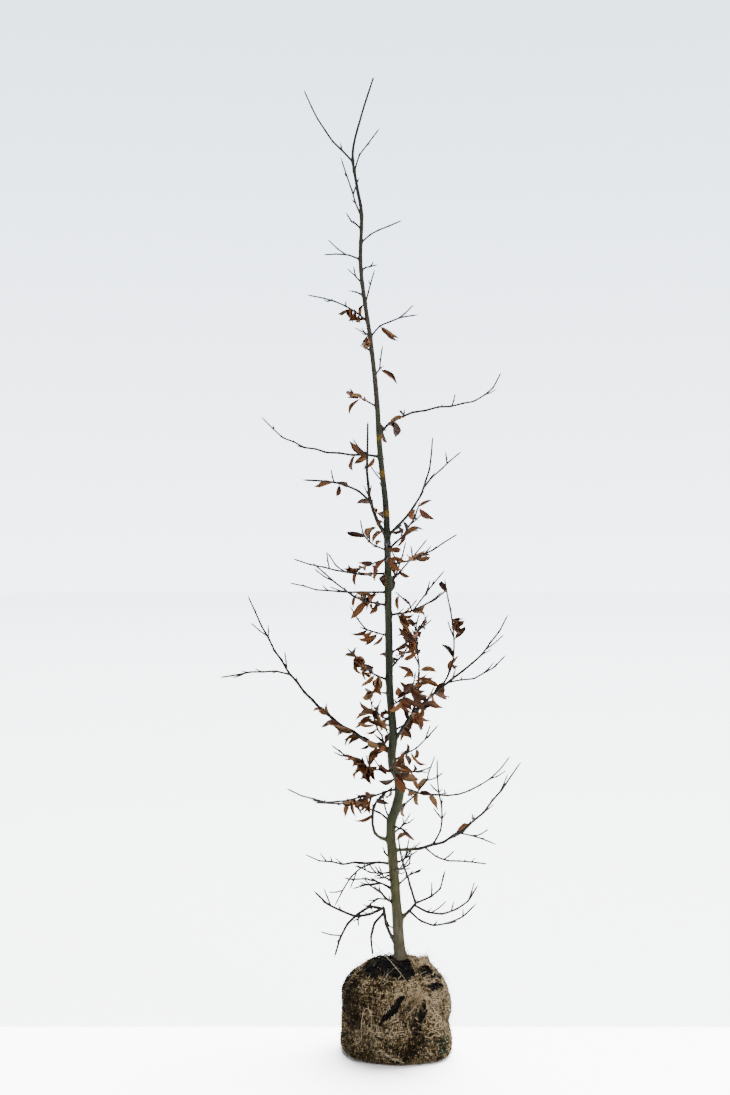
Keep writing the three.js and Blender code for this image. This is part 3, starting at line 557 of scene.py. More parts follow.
@functools.cache
def crown():
    """Stems with their twigs and leaves, decided in one pass so that no limb runs into another."""
    room = Room()
    room.place("trunk", Line(TRUNK_LINE, [row[3] for row in TRUNK]), "stem")
    plans = []
    for number, spec in enumerate(LIMBS + SPURS):
        draw = numbers_for("limbs", number)
        foot, girth = trunk_at(spec.z)
        main = grow_stem(foot, spec, draw)
        steps = len(main.points) - 1
        bare = (math.floor(spec.bough * steps) + 0.5) / steps if spec.bough else 0
        stems = [stem_of(spec.name, spec, main, bare, girth)]
        for branch in spec.forks:
            point, _, r = main.spot(branch.at)
            line = grow_stem(point, branch, draw)
            stems[0].holds.append((branch.at, line.radii[0]))
            stems.append(stem_of(spec.name, branch, line, 0, r))
        plans.append(Record(
            limb=spec, number=number, draw=draw, stems=stems, twigs=[], leaves=[], fine=[]))
    for group in (plans[: len(LIMBS)], plans[len(LIMBS) :]):
        for plan in group:
            for stem in plan.stems:
                room.place(plan.limb.name, stem.line, "stem")
        for plan in group:
            fill_limb(plan, room)
    for plan in plans:
        fill_tufts(plan, room)
    for plan in plans:
        fill_fine(plan, room, FINE_BELOW if plan.limb.z < FINE_HEIGHT else FINE_ABOVE)
    return plans


# ---------------- making meshes


@functools.cache
def tube_faces(rings, sides):
    """Faces of a tube with a pole at both ends. A triangle's fourth corner is -1."""
    ring = np.arange(rings - 1)[:, None] * sides
    k = np.arange(sides)[None]
    following = (k + 1) % sides
    walls = np.stack([ring + k, ring + following, ring + sides + following, ring + sides + k], 2)
    k, following = k[0], following[0]
    last = (rings - 1) * sides
    none = np.full(sides, -1)
    start = np.stack([np.full(sides, rings * sides), following, k, none], 1)
    end = np.stack([np.full(sides, rings * sides + 1), last + k, last + following, none], 1)
    return np.concatenate([walls.reshape(-1, 4), start, end])


def tube_points(points, radii, sides, normals=None, squash=1.0, cap=0.5):
    """Rings round a line of points, then the poles of its two ends.

    With normals, such as those of the cloth that a yarn lies in, the rings are squashed along them.
    """
    points = np.asarray(points, float)
    radii = np.asarray(radii, float)
    along = units(np.gradient(points, axis=0), 1e-12)
    if normals is None:
        normals = np.empty_like(points)
        normal = np.array([0.31, 0.95, 0.08])
        for i, way in enumerate(along):
            normal = unit(normal - way * (normal @ way))
            normals[i] = normal
    else:
        normals = units(normals - along * (normals * along).sum(1)[:, None], 1e-12)
    across = np.cross(along, normals)
    angle = 2 * np.pi * np.arange(sides) / sides
    ring = normals[:, None] * (np.cos(angle) * squash)[None, :, None]
    ring = ring + across[:, None] * np.sin(angle)[None, :, None]
    rings = points[:, None] + ring * radii[:, None, None]
    poles = [points[0] - along[0] * radii[0] * cap, points[-1] + along[-1] * radii[-1] * cap]
    return np.concatenate([rings.reshape(-1, 3), poles])


def read_places(data):
    """A mesh's corners in millimetres."""
    places = np.empty(len(data.vertices) * 3, np.float32)
    data.vertices.foreach_get("co", places)
    return places.reshape(-1, 3)


def write_places(data, places):
    data.vertices.foreach_set("co", (places * MM).astype(np.float32).ravel())


class Batch:
    """Many small closed shapes in millimetres, gathered to be joined as one mesh."""

    def __init__(self):
        self.points, self.faces, self.tints, self.total = [], [], [], 0

    def add(self, points, faces, tint=0):
        self.points.append(points)
        self.faces.append(np.where(faces < 0, -1, faces + self.total))
        self.tints.append(np.full(len(faces), tint) if np.isscalar(tint) else tint)
        self.total += len(points)

    def tube(self, points, radii, sides, tint=0, **shape):
        self.add(tube_points(points, radii, sides, **shape), tube_faces(len(points), sides), tint)

    def mesh(self, name, materials, smooth=60):
        """The finished piece: one object at the origin with its place in its mesh."""
        faces = np.concatenate(self.faces)
        corners = faces >= 0
        sizes = corners.sum(1)
        loops = faces[corners].astype(np.int32)
        starts = np.concatenate([[0], np.cumsum(sizes)[:-1]])
        data = bpy.data.meshes.new(name)
        data.vertices.add(self.total)
        write_places(data, np.concatenate(self.points))
        data.loops.add(len(loops))
        data.polygons.add(len(faces))
        data.polygons.foreach_set("loop_start", starts.astype(np.int32))
        data.polygons.foreach_set("vertices", loops)
        data.polygons.foreach_set("material_index", np.concatenate(self.tints).astype(np.int32))
        for material in materials:
            data.materials.append(material)
        data.update(calc_edges=True)
        data.validate()
        piece = bpy.data.objects.new(name, data)
        bpy.context.collection.objects.link(piece)
        finish_surface(piece, smooth)
        return piece


def select_only(piece):
    bpy.ops.object.select_all(action="DESELECT")
    piece.select_set(True)
    bpy.context.view_layer.objects.active = piece


def added(operator, name="", settled=False, **values):
    """A new object, with nothing else selected. A settled one has its place moved into its mesh."""
    bpy.ops.object.select_all(action="DESELECT")
    operator(**values)
    piece = bpy.context.object
    piece.name = name or piece.name
    if settled:
        bpy.ops.object.transform_apply(location=True, rotation=True, scale=True)
    return piece


OUTWARDS = bpy.ops.mesh.normals_make_consistent, {"inside": False}


def edit(*steps):
    """Runs steps of edit mode, one after another, on the active piece with all of it selected."""
    bpy.ops.object.mode_set(mode="EDIT")
    bpy.ops.mesh.select_all(action="SELECT")
    for step, values in steps:
        step(**values)
    bpy.ops.object.mode_set(mode="OBJECT")


def finish_surface(piece, angle):
    """Shades a piece smooth, apart from edges sharper than the angle."""
    select_only(piece)
    bpy.ops.object.shade_smooth_by_angle(angle=math.radians(angle))


def hand_over(piece, slot, nodes=()):
    """A finished piece rides on the tree and stands for its solids, which are hidden. Its slot is not used."""
    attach(piece, BODY)
    if nodes:
        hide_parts(*nodes)
    return piece


def modify(piece, name, kind, **values):
    """Gives a piece a modifier and applies it."""
    modifier = piece.modifiers.new(name, kind)
    for key, value in values.items():
        setattr(modifier, key, value)
    select_only(piece)
    bpy.ops.object.modifier_apply(modifier=modifier.name)


# ---------------- materials


class Finish:
    """A material with one Principled shader, and nodes that are added to it one by one."""

    def __init__(self, name, colour, roughness, gloss=0.5):
        self.material = bpy.data.materials.new(name)
        self.material.use_nodes = True
        self.tree = self.material.node_tree
        self.shader = self.tree.nodes["Principled BSDF"]
        self.feed(self.shader.inputs["Base Color"], colour)
        self.feed(self.shader.inputs["Roughness"], roughness)
        self.feed(self.shader.inputs["Specular IOR Level"], gloss)
        self.material.diffuse_color = (*colour[:3], 1)
        self.place = None

    def feed(self, socket, source):
        """Gives a socket a number, a colour, or what another node puts out."""
        if hasattr(source, "is_output"):
            self.tree.links.new(source, socket)
        elif socket.type == "RGBA":
            socket.default_value = (*source[:3], 1)
        else:
            socket.default_value = source

    def node(self, kind, sockets=None, **values):
        made = self.tree.nodes.new(kind)
        for name, value in values.items():
            setattr(made, name, value)
        for name, source in (sockets or {}).items():
            self.feed(made.inputs[name], source)
        return made

    def coordinates(self, stretch=(1, 1, 1)):
        if self.place is None:
            self.place = self.node("ShaderNodeTexCoord").outputs["Object"]
        return self.node("ShaderNodeMapping", {"Scale": stretch, "Vector": self.place}).outputs["Vector"]

    def noise(self, scale, detail=4.0, stretch=(1, 1, 1), roughness=0.55):
        place = self.coordinates(stretch)
        sockets = {"Scale": scale, "Detail": detail, "Roughness": roughness, "Vector": place}
        return self.node("ShaderNodeTexNoise", sockets).outputs["Fac"]

    def spread(self, value, low, high, start=0.0, end=1.0):
        """A value that goes from start to end while another goes from low to high."""
        sockets = {"Value": value, "From Min": low, "From Max": high, "To Min": start, "To Max": end}
        return self.node("ShaderNodeMapRange", sockets).outputs["Result"]

    def height(self, low, high):
        """The height on the piece, as a share of the way from low to high."""
        axes = self.node("ShaderNodeSeparateXYZ", {"Vector": self.coordinates()})
        return self.spread(axes.outputs["Z"], low, high)

    def ramp(self, value, stops):
        """Colours along a value: each stop is a place and a colour."""
        made = self.node("ShaderNodeValToRGB", {"Fac": value})
        band = made.color_ramp
        while len(band.elements) < len(stops):
            band.elements.new(0.5)
        for element, (place, colour) in zip(band.elements, stops):
            element.position = place
            element.color = (*colour, 1)
        return made.outputs["Color"]

    def fade(self, value, low, high, start=0.0, end=1.0):
        """Greys along a value, from start to end."""
        return self.ramp(value, [(low, (start,) * 3), (high, (end,) * 3)])

    def mix(self, share, first, second, blend="MIX"):
        made = self.node("ShaderNodeMix", data_type="RGBA", blend_type=blend)
        for socket, source in ((0, share), (6, first), (7, second)):
            self.feed(made.inputs[socket], source)
        return made.outputs[2]

    def colour(self, source):
        self.feed(self.shader.inputs["Base Color"], source)

    def rough(self, value, low, high):
        self.feed(self.shader.inputs["Roughness"], self.spread(value, 0, 1, low, high))

    def bump(self, height, strength, distance):
        made = self.node("ShaderNodeBump", {"Strength": strength, "Distance": distance, "Height": height})
        self.feed(self.shader.inputs["Normal"], made.outputs["Normal"])


# Rings of another colour round the trunk: height of their lower edge and breadth in metres, and colour.
RINGS = [(1.349, 0.015, "ochre"), (1.366, 0.013, "scar"), (1.451, 0.015, "ochre"), (1.539, 0.015, "ochre")]
RING_EDGE = 0.001


def bark_finish(colours):
    """Smooth bark: grey-brown at the foot, olive, dark green and grey-brown again towards the top."""
    finish = Finish("bark", colours.bark_middle, 0.75, 0.2)
    dark = colours.bark_dark
    bands = []
    for z, tall, tint in RINGS:
        band = getattr(colours, "bark_" + tint)
        bands += [(z, dark), (z + RING_EDGE, band), (z + tall - RING_EDGE, band), (z + tall, dark)]
    low, top = TRUNK[0][0] * MM, TRUNK[-1][0] * MM
    stops = [
        (0.22, colours.bark_foot), (0.3, colours.bark_foot), (0.4, colours.bark_olive),
        (0.5, colours.bark_olive), (0.58, colours.bark_middle), (0.69, colours.bark_middle),
        (0.84, dark), (1.3, dark), *bands, (1.58, dark), (1.66, colours.bark_upper), (2.2, colours.bark_top),
    ]
    colour = finish.ramp(finish.height(low, top), [((z - low) / (top - low), tint) for z, tint in stops])
    patches = finish.fade(finish.noise(26, 5, (1, 1, 0.35)), 0.42, 0.6)
    colour = finish.mix(patches, colour, (0.5, 0.52, 0.44), "MULTIPLY")
    algae = finish.fade(finish.noise(14, 4, (1, 1, 0.5)), 0.5, 0.68, 0, 0.55)
    colour = finish.mix(algae, colour, colours.algae)
    streaks = finish.noise(150, 6, (1, 1, 0.07), 0.65)
    colour = finish.mix(finish.fade(streaks, 0.36, 0.56, 0.62, 0), colour, (0.32, 0.3, 0.27), "MULTIPLY")
    place = finish.coordinates((0.55, 0.55, 1.5))
    pores = finish.node("ShaderNodeTexVoronoi", {"Scale": 150, "Vector": place})
    pores = finish.fade(pores.outputs["Distance"], 0.08, 0.16, 0.55, 0)
    colour = finish.mix(pores, colour, colours.lenticel)
    outward = finish.node("ShaderNodeAttribute", attribute_name="outward")
    young = finish.fade(outward.outputs["Fac"], 0.35, 1)
    finish.colour(finish.mix(young, colour, twig_colour(finish, finish.noise(60, 4), colours)))
    finish.rough(streaks, 0.6, 0.9)
    finish.bump(streaks, 0.5, 0.0006)
    return finish.material


def twig_colour(finish, tone, colours):
    return finish.mix(finish.fade(tone, 0.38, 0.62), colours.twig, colours.twig_worn)


def twig_finish(colours):
    """Twig bark: dark, with a grey film in places."""
    finish = Finish("twig_bark", colours.twig, 0.7, 0.12)
    tone = finish.noise(60, 4)
    finish.colour(twig_colour(finish, tone, colours))
    finish.rough(tone, 0.6, 0.85)
    return finish.material


def plain_finish(name, colour, roughness, gloss=0.5):
    """One plain colour, for small things that are dealt out in several tints."""
    return Finish(name, colour, roughness, gloss).material


def soil_finish(colours):
    """Damp dark earth with paler crumbs, its base darkened to near black, partly its own colour and partly
    painted shade in the gaps between the yarns.
    """
    finish = Finish("soil", colours.soil, 0.95, 0.1)
    crumbs = finish.noise(420, 8, roughness=0.7)
    finish.colour(finish.mix(finish.fade(crumbs, 0.42, 0.7), colours.soil, colours.soil_dry))
    finish.bump(crumbs, 0.8, 0.0015)
    return finish.material


def tape_finish(colours):
    """Dark stretch tape, scuffed a little."""
    finish = Finish("tape", colours.tape, 0.4)
    scuffs = finish.noise(300, 5, (1, 1, 3))
    finish.rough(scuffs, 0.3, 0.6)
    finish.bump(scuffs, 0.2, 0.0003)
    return finish.material


# ---------------- bark of the trunk and boughs


def bark_limb(name, points, radii, sides, bulges=(), fading=False):
    """A limb with bark: a path with its own girth at each point, made a mesh and given its relief.

    bulges are places in millimetres where the bark swells round the foot of a branch: place, reach, height.
    The bark of a fading limb takes on the colour of its twigs towards its end.
    """
    path = added(bpy.ops.curve.primitive_nurbs_path_add, name, location=(0, 0, 0))
    path.data.splines.clear()
    spline = path.data.splines.new("POLY")
    spline.points.add(len(points) - 1)
    for place, point, r in zip(spline.points, points, radii):
        place.co = (*(point * MM), 1)
        place.radius = r
    path.data.bevel_depth = MM
    path.data.bevel_resolution = sides // 2 - 2
    path.data.use_fill_caps = True
    path.data.resolution_u = 1
    bpy.ops.object.convert(target="MESH")
    bark = bpy.context.object
    edit((bpy.ops.mesh.remove_doubles, {"threshold": 1e-6}), OUTWARDS)
    carve_bark(bark.data, np.array(points), np.array(radii), bulges, fading)
    finish_surface(bark, 70)
    return bark


# The bark's relief: how fine it is across and along, and its height as a share of the radius.
FLUTES, RIDGES, GRAIN = (0.11, 0.012, 0.085), (0.45, 0.06, 0.05), (1.1, 0.22, 0.022)


def carve_bark(data, line, radii, bulges, fading):
    """Moves the bark out and in: fluting, fine ridges, branch collars, and rings at old bud scars."""
    outward = data.attributes.new("outward", "FLOAT", "POINT")
    places = read_places(data) / MM
    for i, place in enumerate(places):
        nearest = int(np.argmin(((line - place) ** 2).sum(1)))
        outward.data[i].value = nearest / (len(line) - 1) if fading else 0
        out = place - line[nearest]
        size = math.sqrt(out @ out)
        if size < radii[nearest] * 0.5:
            continue
        x, y, z = place
        relief = sum(high * noise.noise(Vector((x * fine, y * fine, z * along)))
                     for fine, along, high in (FLUTES, RIDGES, GRAIN))
        shift = radii[nearest] * relief
        for centre, reach, height in bulges:
            gap = place - centre
            if abs(gap[2]) < reach * 2.5:
                shift += height * math.exp(-((gap @ gap) / reach**2))
        places[i] = place + out / size * shift
    write_places(data, places)
    data.update()


OLD_SCARS = 46


def make_bark(sizes, colours):
    """The trunk and the bare boughs, with collars where limbs leave it and scars where they once did."""
    finish = bark_finish(colours)
    low, top = TRUNK[0][0], TRUNK[-1][0]
    bulges = []
    for plan in crown():
        line = plan.stems[0].line
        thick = line.radii[0]
        _, way, _ = line.spot(0.02)
        centre, girth = trunk_at(plan.limb.z)
        bulges.append((centre + way * girth * 1.1, 3.6 + thick * 2.2, 1.0 + thick * 0.7))
    draw = numbers_for("scars")
    for _ in range(OLD_SCARS):
        z = low + 60 + (top - low - 200) * draw()
        centre, girth = trunk_at(z)
        turn = draw() * math.tau
        out = np.array([math.cos(turn), math.sin(turn), 0])
        bulges.append((centre + out * girth, 2 + 2.5 * draw(), (0.25 + 0.6 * draw()) * girth / 9))
    count = round((top - low) / sizes.bark_step)
    heights = [low + (top - low) * i / count for i in range(count + 1)]
    points, girths = zip(*map(trunk_at, heights))
    radii = [1.35 + 1.09 * r + 1.6 * math.exp(-(z - low) / 22) for z, r in zip(heights, girths)]
    trunk = bark_limb("trunk_bark", points, radii, sizes.trunk_sides, bulges)
    trunk.data.materials.append(finish)
    hand_over(trunk, "bark", ["trunk"])
    for plan in crown():
        stem = plan.stems[0]
        if not stem.bare:
            continue
        points, radii, shares = fine_line(stem, sizes.bough_step)
        end = int(np.searchsorted(shares, stem.bare)) + 1
        name = plan.limb.name + "_bough"
        forks = [(stem.line.spot(f.at)[0], 4.5, 0.5) for f in plan.limb.forks]
        bough = bark_limb(name + "_bark", points[:end], radii[:end], sizes.bough_sides, forks, True)
        bough.data.materials.append(finish)
        hand_over(bough, "bark", [name])


# ---------------- twigs, buds and leaves


def girth_of(r):
    """The radius of a stem with its bark on, from the rule's own."""
    return 1.02 + 1.08 * r + 0.1 * r * r


HOLD_FADE = 0.07  # the share of a stem over which it thins beyond a fork
BUD_SWELLING, BUD_REACH = 0.26, 1.9
FOOT_FLARE, FLARE_REACH = 0.45, 5
NEAR_BUDS = [0.0, 0.03, 0.07, 0.5, 0.93, 0.97]  # where a stem always has a ring, from bud to bud


def fine_line(stem, gap):
    """A stem's line in small steps, swollen at its buds and flared where it leaves its host.

    Gives the points, the radii and each point's share of the stem.
    """
    line = stem.line
    count = len(line.points) - 1
    flare = min(1, max(0, stem.host / line.radii[0] - 1))
    points, radii, shares = [], [], []
    for i in range(count):
        start, end = line.points[i], line.points[i + 1]
        leave = (end - line.points[i - 1]) * 0.34 if i > 0 else end - start
        reach = (line.points[i + 2] - start) * 0.34 if i + 2 <= count else end - start
        length = np.linalg.norm(end - start)
        even = max(2, round(length / gap))
        steps = sorted({*NEAR_BUDS, *(np.arange(1, even) / even)})
        steps = [t for t in steps if t in NEAR_BUDS or 0.09 < t < 0.91]
        for t in [*steps, 1.0] if i == count - 1 else steps:
            bend = leave * (t**3 - 2 * t**2 + t) + reach * (t**3 - t**2)
            point = start * (2 * t**3 - 3 * t**2 + 1) + end * (3 * t**2 - 2 * t**3) + bend
            to_bud = min(t if i > 0 else 1, 1 - t if i < count - 1 else 1) * length
            r = line.radii[i] + (line.radii[i + 1] - line.radii[i]) * t
            for at, held in stem.holds:
                r = max(r, held * min(1, 1 - ((i + t) / count - at) / HOLD_FADE))
            r = girth_of(r) * stem.stout * (1 + BUD_SWELLING * math.exp(-((to_bud / BUD_REACH) ** 2)))
            if i == 0:
                beyond = max(0.0, t * length - stem.host)
                r *= 1 + FOOT_FLARE * flare * math.exp(-beyond / FLARE_REACH)
            points.append(point)
            radii.append(r)
            shares.append((i + t) / count)
    return np.array(points), np.array(radii), np.array(shares)


# The twigs' joined pieces, by the height below which their limbs leave the trunk.
TIERS = [("low", 640), ("middle", 1030), ("high", 1450), ("crown", 9999)]


def make_twigs(sizes, colours):
    """Stems from where their bark ends, with their twigs, joined by tier."""
    finish = twig_finish(colours)
    batches = {name: Batch() for name, _ in TIERS}
    nodes = {name: [] for name, _ in TIERS}
    for plan in crown():
        tier = next(name for name, top in TIERS if plan.limb.z < top)
        batch = batches[tier]
        if plan.limb.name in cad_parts:
            nodes[tier].append(plan.limb.name)
        for stem in plan.stems:
            points, radii, shares = fine_line(stem, 9)
            kept = shares >= stem.bare - 1e-9
            batch.tube(points[kept], radii[kept], sizes.twig_sides)
        for twig in plan.twigs + plan.fine:
            points, radii, _ = fine_line(stem_of("", None, twig, 0, 1.0), 7)
            batch.tube(points, radii, 6)
    for name, batch in batches.items():
        hand_over(batch.mesh("twigs_" + name, [finish]), "sprays", nodes[name])


BUD_OUTLINE = [(0.04, 0.5), (0.28, 1.0), (0.6, 0.78), (0.86, 0.34)]


def add_bud(batch, place, way, length, thick, tint):
    """A pointed bud: a spindle in scales, thickest near its foot."""
    points = [place + way * length * t for t, _ in BUD_OUTLINE]
    radii = [thick * share for _, share in BUD_OUTLINE]
    shape = tube_points(points, radii, 5)
    shape[-1] = place + way * length
    batch.add(shape, tube_faces(len(points), 5), tint)


def make_buds(sizes, colours):
    """A bud at every joint and tip, most of the stems' ones of the lighter kind."""
    finishes = [plain_finish("bud_brown", colours.bud, 0.45), plain_finish("bud_dark", colours.bud_dark, 0.5)]
    batch = Batch()
    for plan in crown():
        draw = numbers_for("buds", plan.number)
        for stem in plan.stems:
            line = stem.line
            count = len(line.points) - 1
            for i in range(1, count + 1):
                point, way = line.points[i], unit(line.points[i] - line.points[i - 1])
                tint = 0 if draw() < 0.7 else 1
                long = sizes.bud_length * (0.75 + 0.5 * draw())
                if i == count:
                    add_bud(batch, point - way * 0.4, way, long * 1.15, 1.6, tint)
                    continue
                if i / count <= stem.bare:
                    continue
                side = unit(np.cross(way, UP) * (1 if i % 2 else -1) + UP * (draw() - 0.5) * 0.8)
                foot = point + side * girth_of(line.radii[i]) * stem.stout * 0.85
                add_bud(batch, foot, unit(way * 0.85 + side * 0.5), long, 1.4, tint)
        for twig in plan.twigs + plan.fine:
            way = unit(twig.points[-1] - twig.points[-2])
            side = unit(np.cross(way, UP))
            middle = twig.points[1] + side * 0.9
            add_bud(batch, twig.points[-1] - way * 0.3, way, sizes.bud_length * 0.8, 1.4, 0)
            add_bud(batch, middle, unit(way + side * 0.6), sizes.bud_length * 0.7, 1.2, 1)
    hand_over(batch.mesh("buds", finishes), "sprays")


# The blade's half width along its length: shares of the length, then shares of the greatest half width.
LEAF_OUTLINE = (
    [0, 0.05, 0.14, 0.3, 0.44, 0.6, 0.74, 0.87, 0.95, 1],
    [0.1, 0.42, 0.8, 0.98, 1, 0.9, 0.68, 0.36, 0.15, 0.03],
)
BLADE_ROWS, BLADE_COLUMNS = 31, 9
VEINS, VEIN_DEPTH, TEETH = 9, 0.48, 0.06


@functools.cache
def blade_faces(rows, columns):
    """Faces of a closed blade: a front and a back that share their rim."""
    front = np.arange(rows * columns).reshape(rows, columns)
    back = front.copy()
    inner = (rows - 2) * (columns - 2)
    back[1:-1, 1:-1] = rows * columns + np.arange(inner).reshape(rows - 2, columns - 2)
    quads = []
    for grid, order in ((front, (0, 1, 2, 3)), (back, (3, 2, 1, 0))):
        corners = [grid[:-1, :-1], grid[1:, :-1], grid[1:, 1:], grid[:-1, 1:]]
        quads.append(np.stack([corners[k] for k in order], 2).reshape(-1, 4))
    return np.concatenate(quads)


def blade_points(leaf, draw, sizes):
    """A dry blade: toothed, pleated along its veins, rolled in from its edges, bent and twisted."""
    t = np.linspace(0, 1, BLADE_ROWS)[:, None]
    s = np.linspace(-1, 1, BLADE_COLUMNS)[None]
    length = leaf.length * 1.04
    half = np.interp(t, *LEAF_OUTLINE) * leaf.length * sizes.leaf_width / 2
    teeth = np.where(np.arange(BLADE_ROWS) % 2, TEETH, -TEETH)[:, None] * (np.abs(s) > 0.99)
    half = half * (1 + teeth)
    roll = 0.75 + leaf.fold * 1.15
    tilt = s * roll * (0.75 + 0.5 * t)
    side = half * np.sin(tilt) / roll
    lift = half * (1 - np.cos(tilt)) / roll
    vein = np.cos(2 * np.pi * (t * VEINS - np.abs(s) * 1.5)) * 4 * np.abs(s) * (1 - np.abs(s) * 0.75)
    lift = lift + vein * VEIN_DEPTH * np.minimum(1, half / 6)
    twist = (draw() - 0.5) * 1.8 * t
    bow = (draw() - 0.5) * 0.16 * leaf.length * np.sin(np.pi * t)
    hook = leaf.length * 0.3 * (draw() - 0.3) * np.maximum(0, t - 0.62) ** 2 * 4
    sag = leaf.curl * t * t + hook
    turned_side = side * np.cos(twist) - lift * np.sin(twist)
    turned_lift = side * np.sin(twist) + lift * np.cos(twist)
    across = np.cross(leaf.face, leaf.along)
    foot = leaf.root + leaf.along * leaf.length * 0.1
    run = t * length * (1 - 0.12 * t)
    grid = foot + leaf.along * run[..., None] * np.ones_like(s)[..., None]
    grid = grid + across * (turned_side + bow)[..., None] + leaf.face * (turned_lift - sag)[..., None]
    wrinkles = [noise.noise_vector(Vector(p * 0.11)) for p in grid.reshape(-1, 3)]
    grid = grid + np.array(wrinkles).reshape(grid.shape) * (2.6 * np.sqrt(np.abs(s)) * t)[..., None]
    normal = units(np.cross(np.gradient(grid, axis=0), np.gradient(grid, axis=1)))
    midrib = 0.5 * np.exp(-((s / 0.16) ** 2)) * (1 - t)
    front = grid + normal * sizes.leaf_thickness / 2
    front[[0, -1]], front[:, [0, -1]] = grid[[0, -1]], grid[:, [0, -1]]
    back = grid - normal * (sizes.leaf_thickness / 2 + midrib)[..., None]
    return np.concatenate([front.reshape(-1, 3), back[1:-1, 1:-1].reshape(-1, 3)])


# How the leaves' tints are dealt out: each tint up to its share, below a height and above it.
LEAF_TINTS = ["rust", "amber", "umber", "chestnut", "tan"]
LOW_LEAVES, LOW_SHARES, HIGH_SHARES = 840, [0.34, 0.64, 0.74, 0.84, 1.0], [0.36, 0.54, 0.72, 0.9, 1.0]


def make_leaves(sizes, colours):
    """Dry blades on short stalks, the faces inside their fold in a darker copy of their tint as painted shade.
    """
    batches = [Batch() for _ in LEAF_TINTS]
    faces = blade_faces(BLADE_ROWS, BLADE_COLUMNS)
    # The first half of each blade's faces, its front, takes the second finish, a darker copy of the tint:
    # painted shade inside the fold.
    sides = np.where(np.arange(len(faces)) < len(faces) // 2, 1, 0)
    for plan in crown():
        draw = numbers_for("blades", plan.number)
        for leaf in plan.leaves:
            pick = draw()
            shares = LOW_SHARES if leaf.root[2] < LOW_LEAVES else HIGH_SHARES
            batch = next(b for b, share in zip(batches, shares) if pick <= share)
            points = blade_points(leaf, draw, sizes)
            batch.add(points, faces, sides)
            stalk_end = (points[4] + points[4 + BLADE_COLUMNS]) / 2
            middle = (leaf.root + stalk_end) / 2 - UP * 0.6
            batch.tube([leaf.root, middle, stalk_end], [1.0, 0.7, 0.8], 5)
    for tint, batch in zip(LEAF_TINTS, batches):
        colour = getattr(colours, "leaf_" + tint)
        finishes = [
            plain_finish("leaf_" + tint, colour, 0.7, 0.15),
            # A darker copy of the tint: painted shade for the inside of the fold.
            plain_finish("leaf_" + tint + "_inside", [c * 0.42 for c in colour], 0.6, 0.15),
        ]
        hand_over(batch.mesh("leaves_" + tint, finishes, 50), "sprays")


def crumple(piece, fineness, depth, shift=0.0):
    for corner in piece.data.vertices:
        corner.co += noise.noise_vector(corner.co * fineness + Vector((0, 0, shift))) * depth * MM


def tape_turn(height, lean, width, gap):
    """One turn of tape round the trunk: an open ring that leans a little."""
    centre, girth = trunk_at(height)
    ring = added(
        bpy.ops.mesh.primitive_cylinder_add, settled=True, vertices=48, radius=(girth * 1.1 + gap) * MM,
        depth=width * MM, end_fill_type="NOTHING", location=np.array([*centre[:2], height]) * MM,
        rotation=(lean, lean / 2, 0))
    edit((bpy.ops.mesh.subdivide, {"number_cuts": 3}))
    crumple(ring, 90, 0.7, lean * 9)
    return ring


def tape_tail(foot, out):
    """The loose end of the tape: a strip drawn out by extruding an edge, step by step."""
    strip = added(bpy.ops.mesh.primitive_plane_add, settled=True, size=4.6 * MM, location=foot * MM,
                  rotation=(math.pi / 2, 0, 0.5))
    edit((bpy.ops.mesh.select_mode, {"type": "VERT"}), (bpy.ops.mesh.select_all, {"action": "DESELECT"}))
    lowest = min(corner.co.z for corner in strip.data.vertices)
    for corner in strip.data.vertices:
        corner.select = corner.co.z < lowest + 0.1 * MM
    bpy.ops.object.mode_set(mode="EDIT")
    for reach, drop in ((2.0, 1.6), (2.4, 2.6), (1.4, 3.4), (0.4, 3.6)):
        step = (out * reach - UP * drop) * MM
        bpy.ops.mesh.extrude_region_move(TRANSFORM_OT_translate={"value": tuple(step)})
    bpy.ops.object.mode_set(mode="OBJECT")
    return strip


def make_tie(sizes, colours):
    """A band of tape wound twice round the trunk, with a tucked knot and a short tail."""
    centre, girth = trunk_at(TIE_HEIGHT)
    out = unit(np.array([0.72, -0.69, 0.0]))
    foot = centre + out * (girth * 1.1 + 1.4)
    parts = [
        tape_turn(TIE_HEIGHT - 1.4, 0.17, 8.6, 0.5), tape_turn(TIE_HEIGHT + 1.6, -0.12, 8.0, 1.2),
        tape_tail(foot - UP * 2, out),
    ]
    lump = added(bpy.ops.mesh.primitive_ico_sphere_add, settled=True, subdivisions=3, radius=2.6 * MM,
                 location=foot * MM, scale=(1, 0.7, 1.5))
    crumple(lump, 420, 0.8)
    for part in parts:
        modify(part, "wall", "SOLIDIFY", thickness=0.6 * MM, offset=1)
        modify(part, "edges", "BEVEL", width=0.15 * MM, segments=2)
    select_only(lump)
    for part in parts:
        part.select_set(True)
    bpy.ops.object.join()
    lump.name = lump.data.name = "tie_tape"
    edit(OUTWARDS)
    lump.data.materials.clear()
    lump.data.materials.append(tape_finish(colours))
    finish_surface(lump, 50)
    hand_over(lump, "tape", ["tie_band"])


# ---------------- the root ball's shape


def plan_shape(angle, height):
    """How far the ball stands out round its plan, as a share, with the dents of handling."""
    n = BALL.squareness
    square = (np.abs(np.cos(angle)) ** n + np.abs(np.sin(angle)) ** n) ** (-1 / n)
    dents = 0.012 * np.sin(3 * angle + height / 40) + 0.01 * np.sin(7 * angle - height / 25)
    folds = 0.012 * np.sin(13 * angle + height / 30) * np.minimum(1, height / 60)

    def toward(side, spread):
        return bell(np.arctan2(np.sin(angle - side), np.cos(angle - side)), 0, spread)

    waist = -0.06 * toward(0, 0.7) * bell(height, 78, 26)
    corner = 0.08 * toward(-0.74, 0.42) * smooth_step(62, 24, height)
    left = 0.022 * toward(np.pi, 0.7) * smooth_step(205, 150, height)
    return 1 + (square - 1) * 0.55 + dents + folds + waist + corner + left


